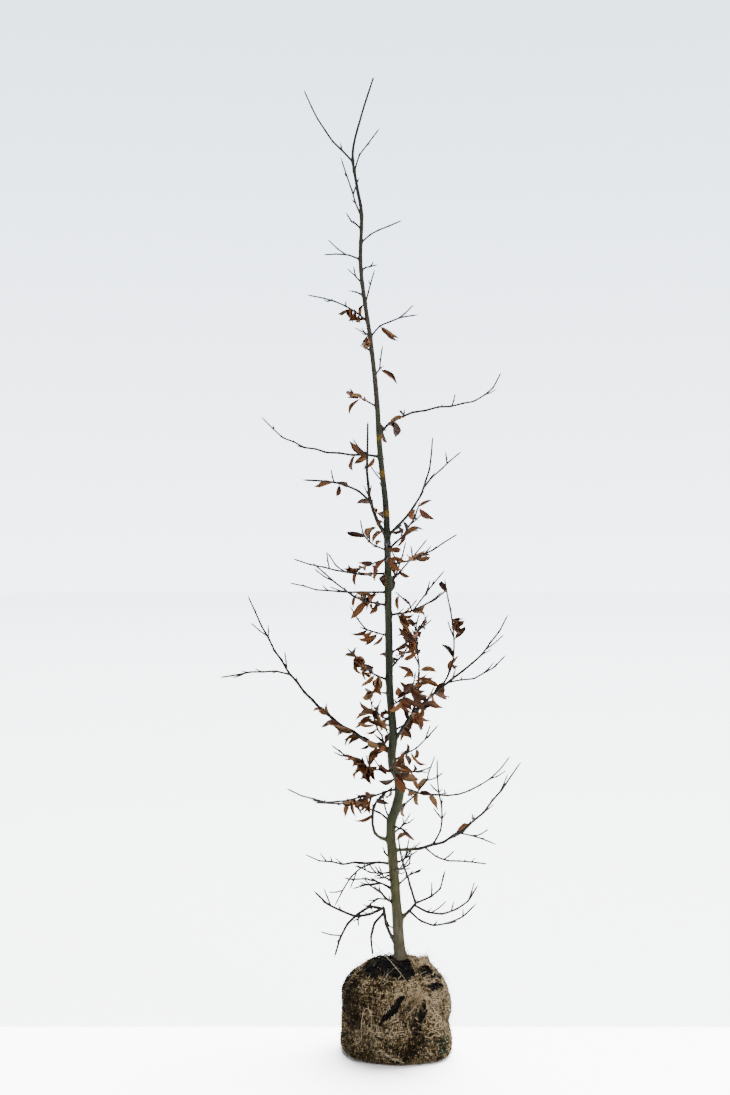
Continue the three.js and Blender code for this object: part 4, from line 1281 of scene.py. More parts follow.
@functools.cache
def outline_table():
    """The outline in even small steps of its own length: share of the half width, and height."""
    rows = [np.array([share * BALL.half_width, height]) for share, height in BALL_OUTLINE]
    rows.append(np.array([0.0, BALL_TOP]))
    fine = np.array([spline_at(rows, i / 400) for i in range(401)])
    walk = np.concatenate([[0], np.cumsum(np.linalg.norm(np.diff(fine, axis=0), axis=1))])
    return fine, walk


def ball_surface(angle, walk, inset=0.0):
    """A place on the wrapped ball: walk is the distance up its outline in millimetres."""
    fine, walks = outline_table()
    r = np.interp(walk, walks, fine[:, 0])
    z = np.interp(walk, walks, fine[:, 1])
    lean = np.interp(walk, (walks[1:] + walks[:-1]) / 2, np.arctan2(*np.diff(fine, axis=0).T))
    r = np.maximum(r * plan_shape(angle, z) - inset * np.cos(lean), 0)
    z = z + inset * np.sin(lean)
    y = r * np.sin(angle) * BALL.half_depth / BALL.half_width
    return np.stack([r * np.cos(angle), y, z], -1)


def smooth_step(low, high, value):
    t = np.clip((value - low) / (high - low), 0, 1)
    return t * t * (3 - 2 * t)


def bell(value, centre=0.0, spread=1.0):
    """1 at the centre and next to nothing two spreads away."""
    return np.exp(-(((value - centre) / spread) ** 2))


def hump(a, a_centre, a_spread, b, b_centre, b_spread):
    """A bell over two values at once."""
    return np.exp(-(((a - a_centre) / a_spread) ** 2 + ((b - b_centre) / b_spread) ** 2))


def field(points, size, seed=0.0):
    """A smooth wandering value from -1 to 1 over places in millimetres."""
    flat = np.asarray(points).reshape(-1, 3) / size
    values = [noise.noise(Vector((x + seed, y - seed, z + seed * 0.5))) for x, y, z in flat]
    return np.array(values).reshape(np.shape(points)[:-1])


def in_mouth(points):
    """Below 1 inside the wrap's torn mouth and holes, 1 at their edges."""
    shares = []
    for x, y, half_x, half_y, turn in (MOUTH, *HOLES):
        c, s = math.cos(math.radians(turn)), math.sin(math.radians(turn))
        dx, dy = points[..., 0] - x, points[..., 1] - y
        across, deep = (dx * c + dy * s) / half_x, (dy * c - dx * s) / half_y
        angle = np.arctan2(deep, across)
        ragged = 0.05 * np.sin(3 * angle + 1) + 0.035 * np.sin(7 * angle + 2.1)
        ragged += 0.03 * np.sin(17 * angle + x)
        if (x, y) == MOUTH[:2]:
            for side, spread, further in MOUTH_TEARS:
                away = (angle if side < 3 else np.abs(angle)) - side
                ragged += further * np.exp(-(away**2) / spread)
        shares.append(np.hypot(across, deep) + ragged)
    return np.min(shares, axis=0)


def beside(spots, start, end):
    """How far along a straight line each place lies, as a share of it, and its distance from the line."""
    start, step = np.array(start, float), np.array(end, float) - start
    share = ((spots - start) @ step) / (step @ step)
    return share, np.linalg.norm(spots - start - np.clip(share, 0, 1)[..., None] * step, axis=-1)


def crease_heights(points):
    """How far each soft fold lifts or sinks the wrap's front."""
    heights = []
    for x0, z0, x1, z1, height, half in CREASES:
        share, gap = beside(points[..., [0, 2]], (x0, z0), (x1, z1))
        ends = smooth_step(-0.15, 0.2, share) * smooth_step(1.2, 0.8, share)
        heights.append(height * bell(gap, 0, half) * ends * (points[..., 1] < 0))
    return sum(heights)


def fold_height(points):
    """How far the standing fold lifts the wrap at places in plan."""
    nearest, height = np.full(points.shape[:-1], 1e9), np.zeros(points.shape[:-1])
    for start, end in zip(FOLD[:-1], FOLD[1:]):
        share, gap = beside(points[..., :2], start[:2], end[:2])
        height = np.where(gap < nearest, start[2] + (end[2] - start[2]) * np.clip(share, 0, 1), height)
        nearest = np.minimum(nearest, gap)
    return height * bell(nearest, 0, 11) * smooth_step(120, 180, points[..., 2])


def slit_places(points, slit):
    """Places along and across a slit as shares of its half length, and its half width there."""
    x, z, length, width, tilt = slit
    c, s = math.cos(math.radians(tilt)), math.sin(math.radians(tilt))
    dx, dz = points[..., 0] - x, points[..., 2] - z
    along = (dx * c + dz * s) / (length / 2)
    across = dz * c - dx * s
    ragged = 1 + 0.08 * np.sin(5 * along + x) + 0.14 * np.sin(13 * along)
    half = width / 2 * np.maximum(0, 1 - np.abs(along) ** 1.6) * ragged
    return along, across, half, np.array([-s, 0.0, c])


WRAP_REACH = 0.97  # the share of the ball's outline that the wrap covers
WORN, BROKEN = 0.2, 0.007  # how many yarns are cut in a threadbare place, and anywhere


def wrap_lattice(rows, columns):
    """Places where warp and weft cross, spread over the ball, with their creases, and what is cut away.

    Gives the places and two flags for the steps to the next place up and the next place round.
    """
    _, walks = outline_table()
    walk = np.linspace(0, walks[-1] * WRAP_REACH, rows)[:, None] * np.ones((1, columns))
    angle = np.linspace(0, 2 * np.pi, columns, endpoint=False)[None]
    angle = angle + 0.07 * np.sin(walk / 55) - 0.0004 * walk
    points = ball_surface(angle, walk, 1.4)
    x, y, z = np.moveaxis(points, -1, 0)
    front = smooth_step(20, 70, -y)
    # Gathered towards the knot: the yarns are drawn in and lie in sharp pleats that fade outwards.
    dx, dz = x - KNOT[0], z - KNOT[2]
    away = np.hypot(dx, dz)
    spread = np.arctan2(dz, dx)
    pull = 0.26 * bell(away, 0, 38) * front
    points = points - np.stack([dx * pull, 0 * dx, dz * pull], -1)
    x, y, z = np.moveaxis(points, -1, 0)
    rays = np.stack([np.cos(spread), np.sin(spread), away / 150], -1)
    pleat = np.clip(2.6 * field(rays, 0.3, 5.5), -0.8, 1)
    height = 10 * pleat * np.exp(-away / 50) * smooth_step(8, 30, away) * front
    height += 6 * bell(away, 0, 20) * front
    # Long folds that run out from the knot, slack over the whole ball, and a rim round the mouth.
    reach = smooth_step(25, 70, away) * smooth_step(210, 120, away) * front
    height += 7 * np.maximum(0, 2.2 * field(rays, 0.55, 8.3)) * reach
    slack = field(points * [1, 1, 0.45], 34, 3.1)
    height += 4.4 * np.maximum(0, slack) + 1.4 * field(points, 13, 7.7) + crease_heights(points)
    near_rim = in_mouth(points)
    top_pleats = np.maximum(0, np.cos(19 * angle + 2 * np.sin(3 * angle)))
    height += 3.4 * top_pleats * smooth_step(130, 215, z) * smooth_step(2.0, 1.15, near_rim)
    height += 3.5 * np.exp(-np.abs(near_rim - 1) / 0.1)
    lifted = fold_height(points)
    height -= 8 * hump(x, 104, 26, y, -6, 46) * smooth_step(140, 185, z)
    height -= 7 * hump(x, -82, 24, y, -20, 60) * smooth_step(185, 210, z)
    height *= smooth_step(-2, 14, z)
    outward = points - np.array([0, 0, 105.0])
    outward[..., 2] = np.where(z < 140, 0, outward[..., 2] - 20)
    outward = units(outward, 0)
    points = points + outward * height[..., None] + UP * lifted[..., None]
    # Slits: the yarns beside one are pushed to its edges, and those that cross it are cut.
    cut_up = np.zeros((rows, columns), bool)
    cut_round = np.zeros((rows, columns), bool)
    for slit in SLITS:
        along, across, half, way = slit_places(points, slit)
        inside = (np.abs(along) < 1) & (points[..., 1] < -10 + 30 * (slit[0] > 80))
        side = np.where(across >= 0, 1, -1)
        push = half * np.exp(-np.abs(across) / 11) * inside
        points = points + way * (side * push)[..., None]
        lip = half * 0.55 * np.exp(-np.abs(across) / 7) * inside
        points = points + outward * lip[..., None]
        deep = inside & (half > 1.6)
        cut_up[:-1] |= deep[:-1] & deep[1:] & (side[:-1] != side[1:])
        cut_round |= deep & np.roll(deep, -1, 1) & (side != np.roll(side, -1, 1))
    rng = np.random.default_rng(SEEDS["lattice"])
    uneven = rng.normal(0, 0.75, points.shape)
    points = points + uneven * smooth_step(4, 12, points[..., 2])[..., None]
    points[..., 2] = np.maximum(points[..., 2], 2.6)
    # Threadbare places round the holes, single broken yarns anywhere, and strands left across a hole.
    near_hole = in_mouth(points)
    worn = (near_hole < 1.5) & (points[..., 0] > 40)
    for cut in (cut_up, cut_round):
        cut |= worn & (rng.random(worn.shape) < WORN) | (rng.random(worn.shape) < BROKEN)
    left = (rng.random((rows, 1)) < 0.08) | (rng.random((1, columns)) < 0.06)
    keep = (near_hole > 1) | (left & (points[..., 0] > 58))
    keep |= points[..., 2] < BALL_TOP - 60
    return points, keep, cut_up, cut_round


def normals_of(points):
    return units(np.cross((np.roll(points, -1, 1) - np.roll(points, 1, 1)) / 2, np.gradient(points, axis=0)))


def checkered(rows, columns):
    """1 where the warp lies over the weft, and -1 where it lies under."""
    return np.where((np.arange(rows)[:, None] + np.arange(columns)[None]) % 2, 1, -1)[..., None]


YARN_SIDES = 5
YARN_TINTS = ["straw", "tan", "brown", "umber", "damp", "moss"]


def yarn_finishes(name, colours):
    return [plain_finish(name + tint, getattr(colours, "yarn_" + tint), 0.95, 0.1) for tint in YARN_TINTS]


# Lighter and darker places of the wrap: how much, middle and spread in x, middle and spread in z.
FRONT_SHADES = [(0.2, 50, 44, 165, 40), (0.22, -58, 26, 95, 60), (-0.26, 45, 52, 34, 36)]
ALL_SHADES = [(-0.5, -132, 30, 140, 44), (0.26, -122, 30, 45, 40)]
TINT_STEPS = [-0.8, -0.58, -0.36, -0.14]
MOSS_STAIN = (113, 38, 13)  # its middle x and z, and its reach


def yarn_tints(points, rng, yarn=0.0):
    """Which tint a yarn has at each place: lighter towards the right, partly bleached yarn and partly painted
    light from the right, lighter towards the top, lighter on raised folds and darker in sunk creases as painted
    light and shade, and damp and dark low on the left.
    """
    x, y, z = np.moveaxis(points, -1, 0)
    # Lighter towards the right, partly bleached yarn and partly painted light from the right; lighter towards
    # the top.
    light = 0.5 + 0.0021 * x + 0.0006 * (z - 110)
    light += 0.5 * field(points, 46, 1.3)
    light += 0.28 * field(points, 12, 9.2)
    for more, x_middle, x_spread, z_middle, z_spread in FRONT_SHADES:
        light += more * hump(x, x_middle, x_spread, z, z_middle, z_spread) * (y < 0)
    for more, x_middle, x_spread, z_middle, z_spread in ALL_SHADES:
        light += more * hump(x, x_middle, x_spread, z, z_middle, z_spread)
    # Painted light and shade: lighter on the raised folds, darker in the sunk creases.
    light += 0.035 * crease_heights(points)
    light += yarn + rng.normal(0, 0.28, light.shape)
    tint = np.digitize(-light, TINT_STEPS)
    stain_x, stain_z, stain_reach = MOSS_STAIN
    moss = (np.hypot(x - stain_x, (z - stain_z) * 0.6) < stain_reach) & (y < 0)
    return np.where(moss & (rng.random(x.shape) < 0.5), 5, tint)


def runs_of(keep, cut):
    """Stretches of a yarn that are whole: index arrays, with a yarn's wear taken out."""
    runs, run = [], []
    for i, kept in enumerate(keep):
        if kept:
            run.append(i)
        if run and (not kept or cut[i] or i == len(keep) - 1):
            if len(run) >= 3:
                runs.append(np.array(run))
            run = []
    return runs


def lay_yarn(batch, points, normals, radii, tints, rng, frayed=(True, True)):
    """A yarn along its places, with a thin bent end where it is torn."""
    for at_start, torn in zip((True, False), frayed):
        if not torn:
            continue
        thick, order = radii[0], -1 if at_start else 1
        points, normals, radii, tints = (row[::order] for row in (points, normals, radii, tints))
        way = units(points[-1] - points[-2])
        stub = 1.5 + 5 * rng.random()
        out = normals[-1] * (0.9 * rng.random() - 0.1) + rng.normal(0, 0.3, 3)
        points = np.concatenate([points, [points[-1] + way * stub * 0.5, points[-1] + (way + out) * stub]])
        normals = np.concatenate([normals, normals[-1:], normals[-1:]])
        radii = np.concatenate([radii, thick * np.array([0.75, 0.3])])
        tints = np.concatenate([tints, tints[-1:], tints[-1:]])
        points, normals, radii, tints = (row[::order] for row in (points, normals, radii, tints))
    points[:, 2] = np.maximum(points[:, 2], 1.6)
    walls = np.repeat(tints[:-1], YARN_SIDES)
    ends = np.repeat(tints[[0, -1]], YARN_SIDES)
    batch.tube(points, radii, YARN_SIDES, np.concatenate([walls, ends]), normals=normals, squash=0.72)


def make_wrap(sizes, colours):
    """The hessian as single yarns, warp over weft, each as thick and as worn as chance made it."""
    finishes = yarn_finishes("yarn_", colours)
    _, walks = outline_table()
    girth = 2 * math.pi * BALL.half_width * 1.03
    rows = round(walks[-1] * WRAP_REACH / sizes.weave_pitch) + 1
    columns = 2 * round(girth / sizes.weave_pitch / 2)
    points, keep, cut_up, cut_round = wrap_lattice(rows, columns)
    normals = normals_of(points)
    rng = np.random.default_rng(SEEDS["yarns"])
    warp_tints = yarn_tints(points, rng, rng.normal(0.04, 0.12, (1, columns)))
    weft_tints = yarn_tints(points, rng, rng.normal(-0.04, 0.12, (rows, 1)))
    lift = normals * checkered(rows, columns) * (sizes.yarn_radius * 0.62)
    warp, weft = points + lift, points - lift
    batches = {name: Batch() for name in ("warp_front", "warp_back", "weft_front", "weft_back")}

    def lay(name, line, places, tints, thick, torn):
        radii = thick * (1 + 0.3 * rng.standard_normal(len(line[0]))).clip(0.5, 1.6)
        lay_yarn(batches[name], places[line], normals[line], radii, tints[line], rng, torn)

    for j in range(columns):
        thick = sizes.yarn_radius * (0.72 + 0.5 * rng.random())
        for run in runs_of(keep[:, j], cut_up[:, j]):
            name = "warp_front" if points[run[len(run) // 2], j, 1] < 0 else "warp_back"
            lay(name, (run, np.full(len(run), j)), warp, warp_tints, thick, (run[0] > 0, True))
    half = columns // 2
    for i in range(rows):
        thick = sizes.yarn_radius * (0.72 + 0.5 * rng.random())
        for name, turn in (("weft_back", np.arange(half + 1)), ("weft_front", np.arange(half, columns + 1))):
            order = turn % columns
            ends = cut_round[i, order].copy()
            ends[-1] = False
            for run in runs_of(keep[i, order], ends):
                torn = run[0] > 0, run[-1] < len(order) - 1
                lay(name, (np.full(len(run), i), order[run]), weft, weft_tints, thick, torn)
    for name, batch in batches.items():
        hand_over(batch.mesh("hessian_" + name, finishes, 80), "hessian", ["hessian_wrap"])
    make_underside(sizes, finishes, rng)


def make_underside(sizes, finishes, rng):
    """The wrap's flat underside, as one more piece of the same weave."""
    reach = BALL.half_width
    count = round(2 * reach / sizes.weave_pitch)
    x, y = np.meshgrid(np.linspace(-reach, reach, count), np.linspace(-reach, reach, count), indexing="ij")
    points = np.stack([x, y, np.full_like(x, 2.4)], -1)
    points[..., :2] += rng.normal(0, 0.3, x.shape + (2,))
    angle = np.arctan2(y, x)
    keep = np.hypot(x, y * reach / BALL.half_depth) < 0.6 * reach * plan_shape(angle, 3.0)
    tints = yarn_tints(points, rng)
    down = np.zeros_like(points) - UP
    shift = down * checkered(count, count) * 0.7
    batch = Batch()
    none = np.zeros(count, bool)
    for i in range(count):
        for line, side in (((i, slice(None)), 1), ((slice(None), i), -1)):
            for run in runs_of(keep[line], none):
                spots = (points[line] + shift[line] * side)[run]
                radii = np.full(len(run), sizes.yarn_radius)
                lay_yarn(batch, spots, down[line][run], radii, tints[line][run], rng, (False, False))
    hand_over(batch.mesh("hessian_underside", finishes, 80), "hessian", ["hessian_wrap"])


# ---------------- earth


def front_y(x, z):
    """The y of the wrap's outside, on the front, at an x and a height."""
    fine, walks = outline_table()
    walk = float(np.interp(z, np.maximum.accumulate(fine[:, 1]), walks))
    angles = np.linspace(np.pi, 2 * np.pi, 181)
    ring = ball_surface(angles, np.full(181, walk))
    order = np.argsort(ring[:, 0])
    return float(np.interp(x, ring[order, 0], ring[order, 1]))


def heap(x, y):
    """How far the earth rises towards the trunk."""
    return 5 * hump(x, 8, 46, y, 0, 40)


def make_soil(sizes, colours):
    """The earth that shows in the mouth, the slits and between the yarns: a rough ball."""
    soil = added(bpy.ops.mesh.primitive_uv_sphere_add, "soil_ball", segments=160, ring_count=110, radius=0.1)
    _, walks = outline_table()
    start = read_places(soil.data).astype(float)
    angle = np.arctan2(start[:, 1], start[:, 0])
    share = 1 - np.arccos(np.clip(start[:, 2] / 0.1, -1, 1)) / np.pi
    low = 0.14  # the flat underside takes the lowest rings
    walk = np.clip((share - low) / (1 - low), 0, 1) * walks[-1]
    places = ball_surface(angle, walk, sizes.soil_inset)
    places[:, :2] *= np.clip(share / low, 0, 1)[:, None]
    places[:, 2] = np.maximum(places[:, 2], 4.4)
    x, y, z = places.T
    lumps = 2.2 * field(places, 11, 4.4) + 1.2 * field(places, 4.5, 8.1)
    lumps = lumps - 3.0 * (np.hypot(x - KNOT[0], z - KNOT[2]) < 40) * (y < 0)
    rise = heap(x, y) * (z > 180)
    outward = units(places - np.array([0, 0, 110.0]), 0)
    places = places + outward * np.where(z > 8, lumps, 0)[:, None] + UP * rise[:, None]
    write_places(soil.data, places)
    soil.data.materials.append(soil_finish(colours))
    soil.data.update()
    clods = bpy.data.textures.new("clods", "CLOUDS")
    clods.noise_scale = 0.006
    clods.noise_depth = 3
    modify(soil, "clods", "DISPLACE", texture=clods, texture_coords="LOCAL", strength=0.0022)
    bpy.data.textures.remove(clods)
    finish_surface(soil, 80)
    hand_over(soil, "soil", ["soil"])
    make_crumbs(sizes, colours)


def icosphere():
    """Corners and faces of the crumbs' starting ball, read from a primitive that is then removed."""
    ball = added(bpy.ops.mesh.primitive_ico_sphere_add, subdivisions=2, radius=1)
    corners = np.array([v.co for v in ball.data.vertices])
    faces = np.array([[*p.vertices, -1] for p in ball.data.polygons])
    bpy.data.objects.remove(ball)
    return corners, faces


def spot_in_mouth(rng, reach):
    """A place in plan inside the wrap's mouth."""
    turn, out = rng.random() * math.tau, math.sqrt(rng.random()) * reach
    return MOUTH[0] + MOUTH[2] * out * math.cos(turn), MOUTH[1] + MOUTH[3] * out * math.sin(turn)


def make_crumbs(sizes, colours):
    """Loose crumbs of earth in the mouth, clear of the trunk, and in the slits."""
    finishes = [
        plain_finish("crumb_black", colours.soil, 0.9, 0.15),
        plain_finish("crumb_brown", colours.soil_dry, 0.95, 0.15),
    ]
    ball = icosphere()
    rng = np.random.default_rng(SEEDS["crumbs"])
    batch = Batch()
    centre, girth = trunk_at(BALL_TOP)
    made = 0
    while made < sizes.crumbs:
        x, y = spot_in_mouth(rng, 1.02)
        if math.hypot(x - centre[0], y - centre[1]) < girth + 1:
            continue
        size = 1.2 + 4.6 * rng.random() ** 3
        add_crumb(batch, np.array([x, y, top_of_soil(x, y, sizes) + size * 0.2]), size, ball, rng)
        made += 1
    for x, z, length, width, tilt in SLITS:
        c, s = math.cos(math.radians(tilt)), math.sin(math.radians(tilt))
        for _ in range(round(length * 1.2)):
            along = (rng.random() - 0.5) * length * 0.9
            across = (rng.random() - 0.5) * width * 0.8
            spot_x, spot_z = x + c * along - s * across, z + s * along + c * across
            place = np.array([spot_x, front_y(spot_x, spot_z) + sizes.soil_inset, spot_z])
            add_crumb(batch, place, 1.0 + 2.2 * rng.random() ** 2, ball, rng)
    hand_over(batch.mesh("soil_crumbs", finishes, 50), "soil")


def top_of_soil(x, y, sizes):
    """The height of the earth inside the mouth."""
    fine, _ = outline_table()
    round_y = y * BALL.half_width / BALL.half_depth
    r = math.hypot(x, round_y) / float(plan_shape(math.atan2(round_y, x), 215.0))
    upper = fine[fine[:, 1] > 60][::-1]
    z = float(np.interp(r, upper[:, 0], upper[:, 1]))
    return z - sizes.soil_inset + float(heap(x, y))


def add_crumb(batch, place, size, ball, rng):
    corners, faces = ball
    stretch = size * (0.6 + 0.6 * rng.random(3))
    shape = corners * (1 + rng.normal(0, 0.16, len(corners)))[:, None] * stretch
    turn = rng.random() * math.tau
    c, s = math.cos(turn), math.sin(turn)
    shape = shape @ np.array([[c, -s, 0], [s, c, 0], [0, 0, 1]])
    batch.add(shape + place, faces, int(rng.random() < 0.35))


# ---------------- knot, twine, straw and fibres


def curl_line(start, way, length, bend, count, rng):
    """A loose thread: it starts one way and wanders."""
    points, way = [start], unit(way)
    wander = rng.normal(0, 1, 3)
    for _ in range(count):
        wander = wander + rng.normal(0, 0.8, 3)
        way = unit(way + wander * bend / count)
        points.append(points[-1] + way * length / count)
    return np.array(points)


KNOT_YARNS, KNOT_CLUMPS, KNOT_TURNS = 130, 7, 4


def make_knot(sizes, colours):
    """The tied ends of the hessian: a pleated bunch of yarns, bound with twine and frayed at its end."""
    finishes = yarn_finishes("knot_", colours)
    rng = np.random.default_rng(SEEDS["knot"])
    batch = Batch()
    axis = unit(np.array([0.02, -1.0, -0.12]))
    side = unit(np.cross(axis, UP))
    up = np.cross(side, axis)
    waist = KNOT + np.array([0, -9.0, 0])
    clumps = rng.random(KNOT_CLUMPS) * math.tau
    for _ in range(KNOT_YARNS):
        turn = clumps[int(rng.random() * KNOT_CLUMPS)] + rng.normal(0, 0.25)
        out = side * math.cos(turn) + up * math.sin(turn)
        layer = 0.35 + 0.65 * rng.random()
        foot = KNOT + out * (10 + 16 * rng.random()) * (0.6 + 0.4 * layer)
        foot[1] = front_y(foot[0], min(foot[2], 205.0)) - 0.5 - 3 * rng.random()
        neck = waist + out * 6.0 * layer + axis * 4
        way = axis * 0.6 + out * 0.8 * rng.random() - UP * 0.5 * rng.random() + rng.normal(0, 0.5, 3)
        loose = curl_line(neck, way, 12 + 36 * rng.random() ** 1.5, 11.0, 9, rng)
        loose[:, 1] = np.minimum(loose[:, 1], waist[1] - 4)
        middle = (foot + KNOT) / 2 - axis * 2 + np.array([0, -5.0, 0])
        points = [foot, middle, waist + out * 6.5 * layer - axis * 2, *loose]
        fine = [spline_at(np.array(points), i / 26) for i in range(27)]
        thick = sizes.yarn_radius * (0.5 + 0.35 * rng.random())
        radii = thick * np.interp(np.arange(27), [0, 20, 26], [1, 0.8, 0.35])
        batch.tube(fine, radii, 5, int(rng.choice([0, 0, 1, 1, 2, 3])))
    for k in range(KNOT_TURNS):
        middle = waist + axis * (k * 1.9 - 2.6)
        ring = []
        for t in np.linspace(0, math.tau, 29):
            ring.append(middle + (side * math.cos(t) + up * math.sin(t)) * (7.2 + 0.5 * math.sin(3 * t + k)))
        batch.tube(ring, np.full(29, 1.05), 6, 0)
    hand_over(batch.mesh("knot_bunch", finishes, 80), "hessian", ["hessian_knot"])


# Routes of single strands over the wrap's front: x and height, then how far they stand off. The string's
# is in x, y and z.
TWINE = [
    ((-65, 123, 3), (-64, 98, 3), (-62, 76, 3), (-56, 56, 3.4), (-46, 41, 3), (-21, 25, 3), (16, 10, 3)),
    ((26, 110, 4), (24, 96, 3), (20, 83, 3), (11, 55, 3), (1, 25, 3)),
]
STRAW = [
    ((-88, 61, 3), (-89, 84, 3), (-87, 112, 4), (-82, 131, 5), (-76, 138, 6), (-69, 134, 6), (-66, 121, 4)),
    ((84, 112, 5), (93, 120, 7), (105, 114, 7), (110, 103, 5), (104, 95, 4), (93, 97, 6), (88, 104, 7)),
    ((80, 96, 4), (90, 86, 6), (103, 84, 6), (112, 90, 5), (108, 99, 6), (97, 98, 8), (90, 90, 7)),
    ((76, 84, 5), (88, 76, 5), (101, 78, 4), (111, 74, 4)),
    ((70, 120, 5), (78, 108, 6), (86, 100, 7), (98, 106, 8), (107, 98, 5), (103, 88, 5)),
    ((62, 104, 5), (72, 92, 7), (86, 84, 7), (98, 74, 6), (108, 66, 5)),
    ((66, 72, 5), (78, 66, 6), (92, 68, 6), (102, 62, 5), (112, 66, 5)),
    ((74, 132, 5), (84, 126, 6), (92, 112, 7), (96, 98, 7), (92, 84, 6)),
    ((26, 178, 6), (38, 186, 8), (52, 184, 9), (60, 176, 8), (68, 164, 6)),
    ((20, 158, 6), (30, 168, 8), (36, 154, 8), (44, 146, 8), (52, 136, 6)),
    ((56, 192, 6), (66, 198, 7), (80, 192, 6), (92, 194, 5)),
]


STRING = [(-62, -18, 279), (-26, -46, 246), (4, -78, 219), (30, -108, 190), (42, -130, 170)]


def over_wrap(route, count):
    """A strand's line over the front of the wrap."""
    places = [np.array([x, front_y(x, min(z, 212.0)) - lift, z]) for x, z, lift in route]
    return [spline_at(places, i / count) for i in range(count + 1)]


def make_strands(sizes, colours):
    """Twine, straw and the string that runs up to a low twig."""
    finishes = [plain_finish("twine", colours.twine, 0.85), plain_finish("straw", colours.straw, 0.7)]
    batch = Batch()
    for route in TWINE:
        batch.tube(over_wrap(route, 36), np.full(37, 0.7), 6, 0)
    for route in STRAW:
        batch.tube(over_wrap(route, 30), np.full(31, 0.9), 6, 1, squash=0.6)
    string = [np.array(place, float) for place in STRING]
    batch.tube([spline_at(string, i / 30) for i in range(31)], np.full(31, 0.55), 5, 0)
    hand_over(batch.mesh("strands", finishes), "hessian")


def make_fibres(sizes, colours):
    """Loose fibres that stand off the yarns, and torn yarns round the mouth, the peak and the slits."""
    finishes = [
        plain_finish("fibre_light", colours.yarn_straw, 0.9),
        plain_finish("fibre_brown", colours.yarn_brown, 0.95),
        plain_finish("fibre_dark", colours.yarn_damp, 0.95),
    ]
    rng = np.random.default_rng(SEEDS["fibres"])
    points, keep, _, _ = wrap_lattice(64, 200)
    tints = yarn_tints(points, rng)[keep]
    normals = normals_of(points)
    spots, outward = points[keep], normals[keep]
    batch = Batch()
    for pick in rng.integers(0, len(spots), sizes.fibres):
        tangent = np.cross(outward[pick], rng.normal(0, 1, 3))
        way = unit(tangent) + outward[pick] * 0.9 * rng.random() ** 2
        length = 5 + 13 * rng.random() ** 2
        line = curl_line(spots[pick] + outward[pick] * 1.2, way, length, 2.0, 5, rng)
        line[:, 2] = np.maximum(line[:, 2], 0.6)
        tint = 0 if tints[pick] < 2 + rng.integers(0, 2) else 1 + int(rng.random() < 0.5)
        batch.tube(line, np.linspace(0.6, 0.3, 6) * (0.5 + 0.7 * rng.random()), 3, tint)
    rim = keep & (in_mouth(points) < 1.2) & (points[..., 2] > 150)
    near_peak = keep & (np.hypot(points[..., 0] - 72, points[..., 1] + 4) < 16) & (points[..., 2] > 200)
    for where, number, longest, rise in ((rim, 110, 26, 0.6), (near_peak, 34, 30, 2.2)):
        spots, outward = points[where], normals[where]
        for pick in rng.integers(0, len(spots), number):
            way = rng.normal(0, 0.6, 3) + outward[pick] * 0.6 + UP * rise * rng.random()
            line = curl_line(spots[pick], way, 8 + longest * rng.random(), 2.2, 9, rng)
            radii = np.linspace(0.75, 0.3, 10) * (0.6 + 0.6 * rng.random())
            batch.tube(line, radii, 4, int(rng.random() < 0.35))
    hand_over(batch.mesh("hessian_fibres", finishes, 80), "hessian")


def make_roots(sizes, colours):
    """Fine cut roots that show among the crumbs."""
    finishes = [
        plain_finish("root_light", colours.root, 0.7),
        plain_finish("root_dark", colours.soil_dry, 0.8),
    ]
    rng = np.random.default_rng(SEEDS["roots"])
    batch = Batch()
    for _ in range(sizes.roots):
        x, y = spot_in_mouth(rng, 0.92)
        start = np.array([x, y, top_of_soil(x, y, sizes) - 1])
        way = np.array([*rng.normal(0, 1, 2), 0.5 * rng.random()])
        line = curl_line(start, way, 12 + 26 * rng.random(), 2.4, 9, rng)
        floor = np.array([top_of_soil(p[0], p[1], sizes) for p in line])
        line[:, 2] = np.clip(line[:, 2], floor - 0.5, floor + 5)
        radii = np.linspace(0.7, 0.2, 10) * (0.5 + 0.9 * rng.random())
        batch.tube(line, radii, 5, int(rng.random() < 0.5))
    hand_over(batch.mesh("fine_roots", finishes), "soil")


# ---------------- stage


# The backdrop's glow by height, as shares of its glowing height in metres.
GLOW = [(0.0, (4.9, 5.3, 5.7)), (0.35, (3.9, 4.3, 4.8)), (1.0, (2.6, 3.1, 3.6))]
GLOW_HEIGHT = 16.0
FLOOR_RADIUS, DOME_RADIUS, FLOOR_LEVEL = 40, 43, -0.004
LIGHTS_AIM = Vector((0, 0, 1.1))
CAMERA = Record(place=(-0.080, -3.85, 1.27), lens=50, sensor=36)


def glow_finish(name, stops, reach):
    """A backdrop that shines by itself: colours by height over a reach, each as bright as its numbers say."""
    finish = Finish(name, (0, 0, 0), 1.0)
    brightest = max(max(colour) for _, colour in stops)
    scaled = [(place, tuple(c / brightest for c in colour)) for place, colour in stops]
    finish.feed(finish.shader.inputs["Emission Color"], finish.ramp(finish.height(0, reach), scaled))
    finish.feed(finish.shader.inputs["Emission Strength"], brightest)
    return finish.material


def look_along(piece, way, axis="Z"):
    """Turns a light so that one of its axes lies along a way."""
    piece.rotation_euler = Vector(way).to_track_quat(axis, "Y").to_euler()


